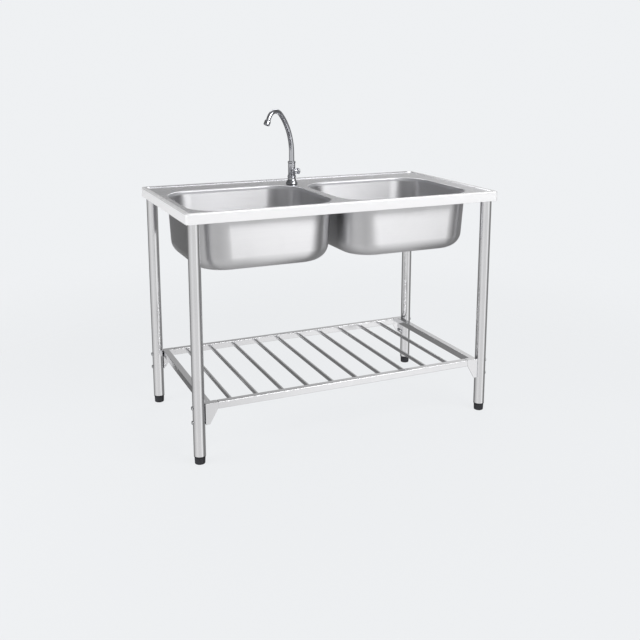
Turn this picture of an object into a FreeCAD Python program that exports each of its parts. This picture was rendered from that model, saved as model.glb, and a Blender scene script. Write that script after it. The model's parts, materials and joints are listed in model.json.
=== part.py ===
import FreeCAD, Part
import math
import os
from FreeCAD import Vector

# Free-standing stainless steel sink: a pressed double-bowl top on four tube legs,
# with a slatted shelf below, a swan-neck tap and adjustable feet.
# Millimetres. X runs along the front, -Y is the front, Z is up, and the floor is Z = 0
# under the middle of the top.

# Driving dimensions
TOP_LENGTH = 1100.0
TOP_DEPTH = 600.0
TOP_HEIGHT = 800.0
SHEET = 1.0                 # thickness of the pressed sheet
FLANGE_HEIGHT = 34.0        # folded-down edge of the top
TOP_CORNER_R = 12.0         # corner of the top, seen from above
TOP_EDGE_R = 4.0            # bend between the top and its folded edge
RIM_WIDTH = 14.0            # raised outer rim
RIM_STEP = 3.0              # how far the working surface lies below the rim
RETURN_LIP = 8.0            # hem turned inwards at the foot of the folded edge

BOWL_LENGTH = 478.0         # along X, at the weld
BOWL_WIDTH = 430.0          # along Y, at the weld
BOWL_DEPTH = 200.0          # from the rim of the top to the underside of the bowl
BOWL_CORNER_R = 105.0       # corner of the opening, seen from above
BOWL_FLOOR_CORNER_R = 115.0 # the same corner at the floor
BOWL_DRAFT = 6.0            # how far the walls lean in on their way down
BOWL_FLOOR_R = 48.0         # sweep between walls and floor
LEFT_LEDGE = 38.0           # top between the left end and the left bowl
FRONT_LEDGE = 30.0
BOWL_DIVIDER = 34.0         # top between the two bowls
OPENING_LIP_R = 5.0         # rolled edge of a bowl opening
COLLAR_DEPTH = 15.0         # rim down to the weld between the top and a bowl

LEG_DIAMETER = 38.0
LEG_WALL = 1.2
LEG_X = 520.0
LEG_Y = 270.0
LEG_FOOT_Z = 27.0           # lower end of the tube

SHELF_TOP_Z = 196.0
RAIL = 22.0                 # square tube of the shelf frame
RAIL_WALL = 1.2
SLAT_DIAMETER = 12.7
SLAT_WALL = 1.0
SLAT_COUNT = 10
SLAT_PITCH = 89.3
SLAT_ROW_X = -7.0           # middle of the row, a little left of the unit's middle
BRACKET_DROP_Z = 127.0      # lowest point of a shelf bracket
BRACKET_REACH = 40.0        # length of a bracket's cheek along the rail
BRACKET_TIP = 13.0          # width of the cheek at its lowest point
BRACKET_SHEET = 2.5
BOLT_UPPER_Z = 185.0
BOLT_LOWER_Z = 137.0
BOLT_R = 3.0
BOLT_HOLE_R = 3.3

TAP_X = -25.0
TAP_Y = 172.0
TAP_REST_ANGLE = 207.0      # direction of the spout, counter-clockwise from +X
INLET_R = 10.48             # half-inch pipe thread, outside radius

OUTLET_R = 23.9             # one-and-a-half-inch pipe thread, outside radius

FIT = 0.3                   # free gap between curved faces that lie against each other
SLIP = 0.05                 # radial clearance of a turning fit
SPARE = 1.0                 # how far a cutting tool passes the face that it opens

# Derived places
UP = Vector(0, 0, 1)
EAST = Vector(1, 0, 0)
HALF_LENGTH = TOP_LENGTH / 2
HALF_DEPTH = TOP_DEPTH / 2
DECK_Z = TOP_HEIGHT - RIM_STEP
DECK_UNDER_Z = DECK_Z - SHEET
FLANGE_Z = TOP_HEIGHT - FLANGE_HEIGHT
COLLAR_Z = TOP_HEIGHT - COLLAR_DEPTH
BOWL_UNDER_Z = TOP_HEIGHT - BOWL_DEPTH
BOWL_FLOOR_Z = BOWL_UNDER_Z + SHEET
BOWL_FRONT = -HALF_DEPTH + FRONT_LEDGE
BOWL_BACK = BOWL_FRONT + BOWL_WIDTH
LEFT_BOWL_X = -HALF_LENGTH + LEFT_LEDGE
RIGHT_BOWL_X = LEFT_BOWL_X + BOWL_LENGTH + BOWL_DIVIDER
BOWLS = {"left": LEFT_BOWL_X, "right": RIGHT_BOWL_X}
LEG_R = LEG_DIAMETER / 2
LEG_BORE_R = LEG_R - LEG_WALL
LEG_TOP_Z = DECK_UNDER_Z - 3.0
RAIL_UNDER_Z = SHELF_TOP_Z - RAIL
RAIL_MID_Z = SHELF_TOP_Z - RAIL / 2
FRAME_X = LEG_X - LEG_R - FIT          # outer face of the shelf frame
CORNERS = {"front_left": (-1, -1), "front_right": (1, -1), "back_left": (-1, 1), "back_right": (1, 1)}


# Basic shapes

def box(x, y, z):
    """A block between two limits on each axis."""
    (x0, x1), (y0, y1), (z0, z1) = sorted(x), sorted(y), sorted(z)
    return Part.makeBox(x1 - x0, y1 - y0, z1 - z0, Vector(x0, y0, z0))


def rod(radius, start, end):
    """A solid round bar between two points."""
    start, end = Vector(*start), Vector(*end)
    return Part.makeCylinder(radius, (end - start).Length, start, end - start)


def pipe(outer, inner, start, end):
    """A round tube between two points."""
    return rod(outer, start, end).cut(rod(inner, start, end))


def upright(radius, x, y, z0, z1):
    return rod(radius, (x, y, z0), (x, y, z1))


def turned(profile, x, y):
    """A solid of revolution about the vertical through x, y, from its (radius, z) outline."""
    points = [Vector(r, 0, z) for r, z in profile]
    shape = Part.Face(Part.makePolygon(points + points[:1])).revolve(Vector(0, 0, 0), UP, 360)
    shape.translate(Vector(x, y, 0))
    return shape


def rounded_outline(x0, x1, y0, y1, r, z):
    """Closed level outline with round corners."""
    centres = [(x1 - r, y1 - r, 0), (x0 + r, y1 - r, 90), (x0 + r, y0 + r, 180), (x1 - r, y0 + r, 270)]
    arcs = [Part.makeCircle(r, Vector(cx, cy, z), UP, a, a + 90) for cx, cy, a in centres]
    edges = []
    for arc, following in zip(arcs, arcs[1:] + arcs[:1]):
        edges.append(arc)
        edges.append(Part.makeLine(arc.Vertexes[-1].Point, following.Vertexes[0].Point))
    return Part.Wire(edges)


def rounded_block(x0, x1, y0, y1, r, z0, z1):
    return Part.Face(rounded_outline(x0, x1, y0, y1, r, z0)).extrude(Vector(0, 0, z1 - z0))


def around(count, radius):
    """Evenly spaced points on a circle about the origin."""
    turns = [2 * math.pi * i / count for i in range(count)]
    return [(radius * math.cos(a), radius * math.sin(a)) for a in turns]


def level_edges(shape, z, x0=-1e6, x1=1e6):
    """The edges lying at one height, between two limits in X."""
    def fits(edge):
        b = edge.BoundBox
        return abs(b.ZMin - z) < 1e-4 and abs(b.ZMax - z) < 1e-4 and b.XMin > x0 and b.XMax < x1
    return [e for e in shape.Edges if fits(e)]


def save(name, shape):
    shape = shape.removeSplitter()
    assert shape.isValid() and shape.Solids, name
    shape.exportStep("parts/" + name + ".step")
    print(name, len(shape.Solids), round(shape.Volume))


# The pressed top

TAP_HOLE_R = INLET_R + 1.0
DRAIN_HOLE_R = 45.0


def under_skin(inset, opening_floor_z, floor_z):
    """All that lies below the top's surface, moved in by inset; openings reach down to opening_floor_z."""
    bend = inset * math.tan(math.radians(22.5))
    x, y = HALF_LENGTH - inset, HALF_DEPTH - inset
    top, deck = TOP_HEIGHT - inset, DECK_Z - inset
    block = rounded_block(-x, x, -y, y, TOP_CORNER_R - inset, floor_z, top)
    block = block.makeFillet(TOP_EDGE_R - inset, level_edges(block, top))
    wires = []
    for depth in (-SPARE, RIM_STEP):
        edge = RIM_WIDTH - bend + depth
        wires.append(rounded_outline(-HALF_LENGTH + edge, HALF_LENGTH - edge, -HALF_DEPTH + edge,
                                     HALF_DEPTH - edge, TOP_CORNER_R, top - depth))
    block = block.cut(Part.makeLoft(wires, True, True))
    for x0 in BOWLS.values():
        x1 = x0 + BOWL_LENGTH
        hole = rounded_block(x0 - inset, x1 + inset, BOWL_FRONT - inset, BOWL_BACK + inset,
                             BOWL_CORNER_R + inset, opening_floor_z, deck + SPARE)
        block = block.cut(hole)
        rims = level_edges(block, deck, x0 - inset - SPARE, x1 + inset + SPARE)
        block = block.makeFillet(OPENING_LIP_R - inset, rims)
    return block


def sink_deck():
    shell = under_skin(0, FLANGE_Z - SPARE, FLANGE_Z).cut(under_skin(SHEET, COLLAR_Z, FLANGE_Z - SPARE))
    x, y = HALF_LENGTH - SHEET, HALF_DEPTH - SHEET
    hem = rounded_block(-x, x, -y, y, TOP_CORNER_R - SHEET, FLANGE_Z, FLANGE_Z + SHEET)
    x, y = x - RETURN_LIP, y - RETURN_LIP
    hem = hem.cut(rounded_block(-x, x, -y, y, TOP_CORNER_R - RETURN_LIP, FLANGE_Z, FLANGE_Z + SHEET))
    return shell.fuse(hem).cut(upright(TAP_HOLE_R, TAP_X, TAP_Y, FLANGE_Z, TOP_HEIGHT))


def drain_place(x0):
    return x0 + BOWL_LENGTH / 2, BOWL_FRONT + BOWL_WIDTH / 2


def bowl(x0):
    """A deep-drawn bowl, narrower towards its floor, welded edge to edge under the collar of its opening."""
    def block(grow):
        floor_z = BOWL_FLOOR_Z - grow
        outlines = []
        for z, lean, corner_r in ((floor_z, BOWL_DRAFT, BOWL_FLOOR_CORNER_R), (COLLAR_Z, 0, BOWL_CORNER_R)):
            edge = lean - grow
            outlines.append(rounded_outline(x0 + edge, x0 + BOWL_LENGTH - edge, BOWL_FRONT + edge,
                                            BOWL_BACK - edge, corner_r + grow, z))
        shape = Part.makeLoft(outlines, True, True)
        return shape.makeFillet(BOWL_FLOOR_R + grow, level_edges(shape, floor_z))
    x, y = drain_place(x0)
    drain = upright(DRAIN_HOLE_R, x, y, BOWL_UNDER_Z - SPARE, BOWL_FLOOR_Z + SPARE)
    return block(SHEET).cut(block(0)).cut(drain)


# Legs and feet

SOCKET_PLATE_R = 27.0
SOCKET_STUB_R = LEG_BORE_R - FIT
SOCKET_WALL = 2.0
SOCKET_LENGTH = 60.0
GRUB_Z = LEG_TOP_Z - 22.0
GRUB_R = 3.0
GRUB_LENGTH = 6.0
GRUB_KEY_R = 1.5            # hole for the key
GRUB_KEY_DEPTH = 2.0
GRUB_END = LEG_R + 1.0      # outer end of the screw, from the leg's middle


def leg(sx, sy):
    x, y = sx * LEG_X, sy * LEG_Y
    tube = pipe(LEG_R, LEG_BORE_R, (x, y, LEG_FOOT_Z), (x, y, LEG_TOP_Z))
    for z in (BOLT_UPPER_Z, BOLT_LOWER_Z):
        tube = tube.cut(rod(BOLT_HOLE_R, (x - LEG_DIAMETER, y, z), (x + LEG_DIAMETER, y, z)))
    return tube.cut(rod(GRUB_R + SLIP, (x, y, GRUB_Z), (x, y - sy * LEG_DIAMETER, GRUB_Z)))


def leg_socket(sx, sy):
    """Plate welded under the top with a stub that the leg is pushed over."""
    x, y = sx * LEG_X, sy * LEG_Y
    shape = upright(SOCKET_PLATE_R, x, y, LEG_TOP_Z, DECK_UNDER_Z)
    shape = shape.fuse(pipe(SOCKET_STUB_R, SOCKET_STUB_R - SOCKET_WALL,
                            (x, y, LEG_TOP_Z - SOCKET_LENGTH), (x, y, LEG_TOP_Z)))
    return shape.cut(rod(GRUB_R + SLIP, (x, y, GRUB_Z), (x, y - sy * LEG_DIAMETER, GRUB_Z)))


def grub_screws():
    """Four set screws that lock the legs to their sockets."""
    screws = []
    for sx, sy in CORNERS.values():
        x, y = sx * LEG_X, sy * LEG_Y
        end = (x, y - sy * GRUB_END, GRUB_Z)
        screw = rod(GRUB_R, (x, y - sy * (GRUB_END - GRUB_LENGTH), GRUB_Z), end)
        screws.append(screw.cut(rod(GRUB_KEY_R, (x, y - sy * (GRUB_END - GRUB_KEY_DEPTH), GRUB_Z), end)))
    return Part.makeCompound(screws)


FOOT_LIP_HEIGHT = 5.0
FOOT_LIP_R = 17.8           # lower rim of the lip
FOOT_PLUG_R = LEG_BORE_R - 0.1
FOOT_PLUG_TOP = LEG_FOOT_Z + 30.0
FOOT_PLUG_LEAD = 2.0        # bevel that leads the plug into the tube
FOOT_PAD_TOP = LEG_FOOT_Z - FOOT_LIP_HEIGHT - FIT
FOOT_PAD_R = 17.3
FOOT_SOLE_R = 16.4
SOLE_BEVEL = 2.0
STEM_R = 5.0
STEM_DISC_R = 9.0
STEM_DISC_Z = (8.0, 12.0)
STEM_TOP = FOOT_PLUG_TOP - 4.0
STEM_BEVEL = 1.0


def foot_insert(sx, sy):
    """Moulded plug pressed into the tube's end, with the thread of the levelling screw."""
    lip_z = LEG_FOOT_Z - FOOT_LIP_HEIGHT
    profile = [(STEM_R + SLIP, lip_z), (FOOT_LIP_R, lip_z), (LEG_R, lip_z + FOOT_LIP_HEIGHT / 2),
               (LEG_R, LEG_FOOT_Z), (FOOT_PLUG_R, LEG_FOOT_Z), (FOOT_PLUG_R, FOOT_PLUG_TOP - FOOT_PLUG_LEAD),
               (FOOT_PLUG_R - FOOT_PLUG_LEAD, FOOT_PLUG_TOP), (STEM_R + SLIP, FOOT_PLUG_TOP)]
    return turned(profile, sx * LEG_X, sy * LEG_Y)


def foot_pad(sx, sy):
    """Foot that stands on the floor; the screw's disc turns in its chamber."""
    low, high = STEM_DISC_Z
    hole_r = STEM_R + SLIP
    chamber_r = STEM_DISC_R + SLIP
    bevel, knee = SOLE_BEVEL, 0.3 * SOLE_BEVEL
    profile = [(0, 0), (FOOT_SOLE_R - bevel, 0), (FOOT_SOLE_R - knee, knee), (FOOT_SOLE_R, bevel),
               (FOOT_PAD_R, FOOT_PAD_TOP), (hole_r, FOOT_PAD_TOP), (hole_r, high + SLIP),
               (chamber_r, high + SLIP), (chamber_r, low - SLIP), (0, low - SLIP)]
    return turned(profile, sx * LEG_X, sy * LEG_Y)


def levelling_screw(sx, sy):
    low, high = STEM_DISC_Z
    profile = [(0, low), (STEM_DISC_R, low), (STEM_DISC_R, high), (STEM_R, high),
               (STEM_R, STEM_TOP - STEM_BEVEL), (STEM_R - STEM_BEVEL, STEM_TOP), (0, STEM_TOP)]
    return turned(profile, sx * LEG_X, sy * LEG_Y)


# Shelf

BRACKET_GAP = 3.0           # open joint between a bracket and the rail's end
SPIGOT_LENGTH = 14.0        # bracket's tongue inside the rail
SPIGOT_ROOT = 4.0           # and inside the bracket's box
SPIGOT_SLACK = 0.2
BRACKET_BOX_WALL = 2.0
RAIL_END_X = FRAME_X - BRACKET_REACH - BRACKET_GAP


def square_tube(start, end, side, wall, axis):
    """A square tube along X or Y, centred on the line between two points."""
    def block(half):
        x, y, z = ((a - half, b + half) for a, b in zip(start, end))
        if axis == "x":
            return box((start[0], end[0]), y, z)
        return box(x, (start[1], end[1]), z)
    return block(side / 2).cut(block(side / 2 - wall))


def long_rail(sy):
    """Front or back rail, between the spigots of two brackets."""
    y = sy * LEG_Y
    return square_tube((-RAIL_END_X, y, RAIL_MID_Z), (RAIL_END_X, y, RAIL_MID_Z), RAIL, RAIL_WALL, "x")


def end_rail(sx):
    """Left or right rail, welded between the front and back brackets."""
    x = sx * (FRAME_X - RAIL / 2)
    y = LEG_Y - RAIL / 2
    return square_tube((x, -y, RAIL_MID_Z), (x, y, RAIL_MID_Z), RAIL, RAIL_WALL, "y")


def slat(index):
    x = SLAT_ROW_X + SLAT_PITCH * (index - (SLAT_COUNT + 1) / 2)
    y = LEG_Y - RAIL / 2
    return pipe(SLAT_DIAMETER / 2, SLAT_DIAMETER / 2 - SLAT_WALL, (x, -y, RAIL_MID_Z), (x, y, RAIL_MID_Z))


def shelf_bracket(sx, sy):
    """Pressed corner: a flange against the leg, a box that carries both rails, and a cheek below."""
    def at(reach):
        return sx * (FRAME_X - reach)
    y = sy * LEG_Y
    outer_y = y + sy * RAIL / 2
    sheet = BRACKET_SHEET
    flange = box((at(0), at(sheet)), (y - RAIL / 2, y + RAIL / 2), (BRACKET_DROP_Z, SHELF_TOP_Z))
    stub = square_tube((at(0), y, RAIL_MID_Z), (at(BRACKET_REACH), y, RAIL_MID_Z), RAIL, BRACKET_BOX_WALL,
                       "x")
    spigot_end = BRACKET_REACH + BRACKET_GAP + SPIGOT_LENGTH
    spigot = square_tube((at(BRACKET_REACH - SPIGOT_ROOT), y, RAIL_MID_Z), (at(spigot_end), y, RAIL_MID_Z),
                         RAIL - 2 * RAIL_WALL - SPIGOT_SLACK, BRACKET_BOX_WALL, "x")
    cheek = [Vector(at(0), outer_y, BRACKET_DROP_Z), Vector(at(BRACKET_TIP), outer_y, BRACKET_DROP_Z),
             Vector(at(BRACKET_REACH), outer_y, RAIL_UNDER_Z), Vector(at(0), outer_y, RAIL_UNDER_Z)]
    cheek = Part.Face(Part.makePolygon(cheek + cheek[:1])).extrude(Vector(0, -sy * sheet, 0))
    shape = flange.fuse([stub, spigot, cheek])
    for z in (BOLT_UPPER_Z, BOLT_LOWER_Z):
        shape = shape.cut(rod(BOLT_HOLE_R, (at(-SPARE), y, z), (at(sheet + SPARE), y, z)))
    return shape


BOLT_HEAD_R = 6.5
BOLT_HEAD = 4.5
BOLT_HEAD_ROUND = 2.5
BOLT_HEAD_X = LEG_X + LEG_R + 0.2
BOLT_TIP = 11.0             # bolt end beyond the outer face of the shelf frame
NUT_FLATS = 10.0
NUT_HEIGHT = 5.0


def each_bolt(make):
    """One compound of the piece that make(sx, y, z) returns at every bolt."""
    places = [(sx, sy * LEG_Y, z) for sx, sy in CORNERS.values() for z in (BOLT_UPPER_Z, BOLT_LOWER_Z)]
    return Part.makeCompound([make(*place) for place in places])


def shelf_bolt(sx, y, z):
    near, far = sx * BOLT_HEAD_X, sx * (BOLT_HEAD_X + BOLT_HEAD)
    head = rod(BOLT_HEAD_R, (near, y, z), (far, y, z))
    rims = [e for e in head.Edges if abs(e.BoundBox.XMin - far) < 1e-4 and abs(e.BoundBox.XMax - far) < 1e-4]
    head = head.makeFillet(BOLT_HEAD_ROUND, rims)
    return head.fuse(rod(BOLT_R, (near, y, z), (sx * (FRAME_X - BOLT_TIP), y, z)))


def shelf_nut(sx, y, z):
    face = FRAME_X - BRACKET_SHEET
    points = [Vector(sx * face, y + a, z + b) for a, b in around(6, NUT_FLATS / math.sqrt(3))]
    nut = Part.Face(Part.makePolygon(points + points[:1])).extrude(Vector(-sx * NUT_HEIGHT, 0, 0))
    return nut.cut(rod(BOLT_R + SLIP, (sx * (face + SPARE), y, z), (sx * (face - NUT_HEIGHT - SPARE), y, z)))


# Drains

STRAINER_FLANGE_R = 56.0
STRAINER_FLANGE_BEVEL = 3.0
STRAINER_FLANGE = 1.6
STRAINER_CUP_R = 42.0
STRAINER_WALL = 2.0
STRAINER_CUP_Z = BOWL_UNDER_Z - 15.0
OUTLET_Z = BOWL_UNDER_Z - 30.0
GASKET = 1.5
LOCKNUT_R = 48.0
LOCKNUT_HEIGHT = 9.0
LOCKNUT_LUGS = 8
LOCKNUT_LUG_R = 5.0

BASKET_WALL = 1.0
BASKET_R = STRAINER_CUP_R - STRAINER_WALL - 2.5
BASKET_FLOOR_Z = STRAINER_CUP_Z + 5.0
BASKET_CORNER = 3.0                      # bevel between the basket's floor and side
BASKET_RIM_R = STRAINER_CUP_R + 1.5
BASKET_RIM_Z = BOWL_FLOOR_Z + GASKET + STRAINER_FLANGE + 1.2
BASKET_KNOB_R = 9.0
BASKET_KNOB = 3.0                        # thickness of the knob
BASKET_KNOB_Z = BASKET_RIM_Z + 8.0
BASKET_STEM_R = 3.5
BASKET_HOLE_R = 2.2
BASKET_HOLE_RINGS = ((8, 13.0), (14, 22.0), (18, 30.0))    # holes and radius of each ring


def strainer_body(x0):
    """Cup clamped through the bowl's floor, with the threaded outlet below."""
    seat = BOWL_FLOOR_Z + GASKET
    face = seat + STRAINER_FLANGE
    cup, wall = STRAINER_CUP_R, STRAINER_WALL
    bore = OUTLET_R - wall
    profile = [(cup, seat), (STRAINER_FLANGE_R, seat), (STRAINER_FLANGE_R - STRAINER_FLANGE_BEVEL, face),
               (cup - wall + STRAINER_FLANGE, face), (cup - wall, seat), (cup - wall, STRAINER_CUP_Z + wall),
               (bore, STRAINER_CUP_Z + wall), (bore, OUTLET_Z), (OUTLET_R, OUTLET_Z),
               (OUTLET_R, STRAINER_CUP_Z), (cup, STRAINER_CUP_Z)]
    return turned(profile, *drain_place(x0))


def strainer_gaskets():
    """Rubber rings above and below each bowl floor."""
    rings = []
    for x0 in BOWLS.values():
        x, y = drain_place(x0)
        for z0, r in ((BOWL_FLOOR_Z, STRAINER_FLANGE_R - 1), (BOWL_UNDER_Z - GASKET, STRAINER_FLANGE_R - 4)):
            rings.append(pipe(r, STRAINER_CUP_R + SLIP, (x, y, z0), (x, y, z0 + GASKET)))
    return Part.makeCompound(rings)


def strainer_locknuts():
    """Ring nuts with grip lugs, screwed up the cups against the lower gaskets."""
    nuts = []
    top = BOWL_UNDER_Z - GASKET
    foot = top - LOCKNUT_HEIGHT
    for x0 in BOWLS.values():
        x, y = drain_place(x0)
        lugs = [upright(LOCKNUT_LUG_R, x + dx, y + dy, foot, top)
                for dx, dy in around(LOCKNUT_LUGS, LOCKNUT_R)]
        nut = upright(LOCKNUT_R, x, y, foot, top).fuse(lugs)
        nuts.append(nut.cut(upright(STRAINER_CUP_R + SLIP, x, y, foot, top)).removeSplitter())
    return Part.makeCompound(nuts)


def strainer_basket(x0):
    """Lift-out perforated basket with a centre knob."""
    x, y = drain_place(x0)
    z0, z1, wall, corner = BASKET_FLOOR_Z, BASKET_RIM_Z, BASKET_WALL, BASKET_CORNER
    outer, inner = BASKET_R, BASKET_R - wall
    profile = [(0, z0), (outer - corner, z0), (outer, z0 + corner), (outer, z1 - wall),
               (BASKET_RIM_R, z1 - wall), (BASKET_RIM_R, z1), (inner, z1), (inner, z0 + corner),
               (outer - corner, z0 + wall),
               (BASKET_STEM_R, z0 + wall), (BASKET_STEM_R, BASKET_KNOB_Z - BASKET_KNOB - 1),
               (BASKET_KNOB_R, BASKET_KNOB_Z - BASKET_KNOB), (BASKET_KNOB_R, BASKET_KNOB_Z - 1),
               (BASKET_KNOB_R - 2, BASKET_KNOB_Z), (0, BASKET_KNOB_Z)]
    holes = []
    for count, ring_r in BASKET_HOLE_RINGS:
        for dx, dy in around(count, ring_r):
            holes.append(upright(BASKET_HOLE_R, x + dx, y + dy, z0 - SPARE, z0 + wall + SPARE))
    return turned(profile, x, y).cut(holes)


# Tap

TAP_SEAT_Z = DECK_Z + 1.5                # the gasket's top
TAP_GASKET_R = 20.0
BELL_R = 21.5                            # bell-shaped base at its foot
BELL_NECK_R = 14.6
BELL_TOP_Z = DECK_Z + 33.0
BODY_R = 13.0
BODY_SEAT_R = 12.0                       # body inside the bell
BODY_TOP_Z = DECK_Z + 76.0
NECK_R = 7.4                             # turned neck that carries the spout
NECK_TOP_Z = BODY_TOP_Z + 26.0
SPOUT_R = 9.7                            # spout at its foot
SPOUT_END_R = 8.0
SPOUT_WALL = 1.2
SPOUT_FOOT_Z = BODY_TOP_Z + FIT
SPOUT_NUT_TOP_Z = BODY_TOP_Z + 8.0
SPOUT_NUT_R = BODY_R + 1.2
LEVER_Z = DECK_Z + 46.0                  # height of the valve and its handle
BOSS_R = 10.5
BOSS_END = 18.0                          # end of the valve's boss, from the tap's middle
VALVE_R = 7.0
VALVE_START = 5.0
SPINDLE_R = 3.5
SPINDLE_START = 11.0
INLET_Z = DECK_Z - 52.0
TAIL_BORE_R = 5.0
TAIL_THREAD = 38.0                       # free length of the inlet's thread
SEAL_GROOVE_R = 6.2
SEAL_HEIGHT = 2.4
SEAL_SLACK = 0.1
SEAL_Z = NECK_TOP_Z - 9.0
LONG_BOW = 205.0
LONG_BOW_TURN = math.radians(44.6)
TIGHT_BOW = 37.0
TIGHT_BOW_TURN = math.radians(105.4)
# Length and radius of each run of the spout's centre line; radius 0 is straight.
SPOUT_RUNS = [(36.0, 0), (LONG_BOW * LONG_BOW_TURN, LONG_BOW), (TIGHT_BOW * TIGHT_BOW_TURN, TIGHT_BOW),
              (12.0, 0)]
SPOUT_LENGTH = sum(length for length, bow in SPOUT_RUNS)
# Outlines of the turned pieces: radius and distance from their seat.
BELL_OUTLINE = [(BELL_R, 0), (BELL_R + 0.5, 1.5), (BELL_R - 0.7, 4.5), (18.4, 9.0), (16.0, 13.0),
                (14.8, 17.0), (BELL_NECK_R, 23.0), (15.6, 24.0), (15.6, 27.0), (BELL_NECK_R, 28.0)]
KNOB_OUTLINE = [(0, 0), (8.5, 0), (10.5, 1.5), (12.3, 4.0), (12.8, 7.0), (11.6, 10.0), (8.6, 12.2), (0, 13.0)]
KNOB_FLUTES = 6
KNOB_FLUTE_R = 3.6
KNOB_FLUTE_RING_R = 15.6
KNOB_GAP = 0.4                           # between the boss and the knob
NOZZLE_LENGTH = 19.0
NOZZLE_R = 11.2
NOZZLE_LIP = 2.2
MESH_DEPTH = 3.0                         # mesh disc, from the nozzle's end
MESH = 2.0
TAP_NUT_FLATS = 30.0
TAP_NUT_HEIGHT = 9.0
TAP_WASHER_R = 19.0
TAP_WASHER = 2.0


def tap_gasket():
    return pipe(TAP_GASKET_R, INLET_R + FIT, (TAP_X, TAP_Y, DECK_Z), (TAP_X, TAP_Y, TAP_SEAT_Z))


def tap_base():
    """Bell-shaped cover at the foot of the tap."""
    bore = BODY_SEAT_R + FIT
    outline = [(r, TAP_SEAT_Z + h) for r, h in BELL_OUTLINE]
    profile = [(bore, TAP_SEAT_Z)] + outline + [(BELL_NECK_R, BELL_TOP_Z), (bore, BELL_TOP_Z)]
    return turned(profile, TAP_X, TAP_Y)


def tap_body():
    """Brass body with the inlet tail below, the valve's side boss and the neck for the spout."""
    tail_r = INLET_R - 0.2
    thread_z = INLET_Z + 1.0
    seal_top_z = SEAL_Z + SEAL_HEIGHT
    profile = [(TAIL_BORE_R, INLET_Z), (INLET_R - 1, INLET_Z), (INLET_R, thread_z),
               (INLET_R, thread_z + TAIL_THREAD), (tail_r, thread_z + TAIL_THREAD), (tail_r, TAP_SEAT_Z),
               (BODY_SEAT_R, TAP_SEAT_Z), (BODY_SEAT_R, BELL_TOP_Z), (BODY_R, BELL_TOP_Z),
               (BODY_R, BODY_TOP_Z - 1), (BODY_R - 1, BODY_TOP_Z), (NECK_R, BODY_TOP_Z), (NECK_R, SEAL_Z),
               (SEAL_GROOVE_R, SEAL_Z), (SEAL_GROOVE_R, seal_top_z), (NECK_R, seal_top_z),
               (NECK_R, NECK_TOP_Z), (TAIL_BORE_R, NECK_TOP_Z)]
    boss = rod(BOSS_R, (TAP_X + BODY_R / 2, TAP_Y, LEVER_Z), (TAP_X + BOSS_END, TAP_Y, LEVER_Z))
    boss = boss.cut(upright(BODY_R - 4.0, TAP_X, TAP_Y, LEVER_Z - BOSS_R - SPARE, LEVER_Z + BOSS_R + SPARE))
    valve = rod(VALVE_R, (TAP_X + VALVE_START, TAP_Y, LEVER_Z), (TAP_X + BOSS_END + SPARE, TAP_Y, LEVER_Z))
    return turned(profile, TAP_X, TAP_Y).fuse(boss).cut(valve)


def tap_cartridge():
    """Valve cartridge, held in the side boss by its bonnet."""
    end = (TAP_X + BOSS_END, TAP_Y, LEVER_Z)
    shell = rod(VALVE_R - SLIP, (TAP_X + VALVE_START + 2.5, TAP_Y, LEVER_Z), end)
    return shell.cut(rod(SPINDLE_R + SLIP, (TAP_X + SPINDLE_START - SPARE, TAP_Y, LEVER_Z), end))


def tap_handle():
    """Fluted knob with its spindle; it turns the cartridge."""
    x = TAP_X + BOSS_END + KNOB_GAP
    points = [Vector(x + d, TAP_Y, LEVER_Z + r) for r, d in KNOB_OUTLINE]
    knob = Part.Face(Part.makePolygon(points + points[:1])).revolve(Vector(x, TAP_Y, LEVER_Z), EAST, 360)
    flutes = []
    for dy, dz in around(KNOB_FLUTES, KNOB_FLUTE_RING_R):
        y, z = TAP_Y + dy, LEVER_Z + dz
        flutes.append(rod(KNOB_FLUTE_R, (x, y, z), (x + BOSS_END, y, z)))
    spindle = rod(SPINDLE_R, (TAP_X + SPINDLE_START, TAP_Y, LEVER_Z), (x + SPARE, TAP_Y, LEVER_Z))
    return knob.cut(flutes).fuse(spindle)


def spout_nut():
    """Union nut that keeps the spout on the neck."""
    z0, z1 = BODY_TOP_Z, SPOUT_NUT_TOP_Z
    bore = SPOUT_R + FIT
    profile = [(bore, z0), (BODY_R, z0), (SPOUT_NUT_R, z0 + 1.5), (SPOUT_NUT_R, z1 - 2.5), (BODY_R - 1, z1),
               (bore, z1)]
    return turned(profile, TAP_X, TAP_Y)


def spout_seal():
    """O-ring in the neck's groove."""
    return pipe(NECK_R - SEAL_SLACK, SEAL_GROOVE_R, (TAP_X, TAP_Y, SEAL_Z + SEAL_SLACK),
                (TAP_X, TAP_Y, SEAL_Z + SEAL_HEIGHT - SEAL_SLACK))


def spout_station(s):
    """Reach, height and tilt of the spout's centre line at the length s from its foot."""
    r, z, tilt = 0.0, SPOUT_FOOT_Z, 0.0
    for length, bow in SPOUT_RUNS:
        step = min(s, length)
        s -= step
        if bow:
            turn = step / bow
            r += bow * (math.cos(tilt) - math.cos(tilt + turn))
            z += bow * (math.sin(tilt + turn) - math.sin(tilt))
            tilt += turn
        else:
            r += step * math.sin(tilt)
            z += step * math.cos(tilt)
    return r, z, tilt


def in_spout_plane(r, z):
    a = math.radians(TAP_REST_ANGLE)
    return Vector(TAP_X + r * math.cos(a), TAP_Y + r * math.sin(a), z)


def spout_placement(s):
    """Frame on the spout's centre line whose Z axis points along it."""
    r, z, tilt = spout_station(s)
    heading = in_spout_plane(r + math.sin(tilt), z + math.cos(tilt)) - in_spout_plane(r, z)
    return FreeCAD.Placement(in_spout_plane(r, z), FreeCAD.Rotation(UP, heading))


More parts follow.
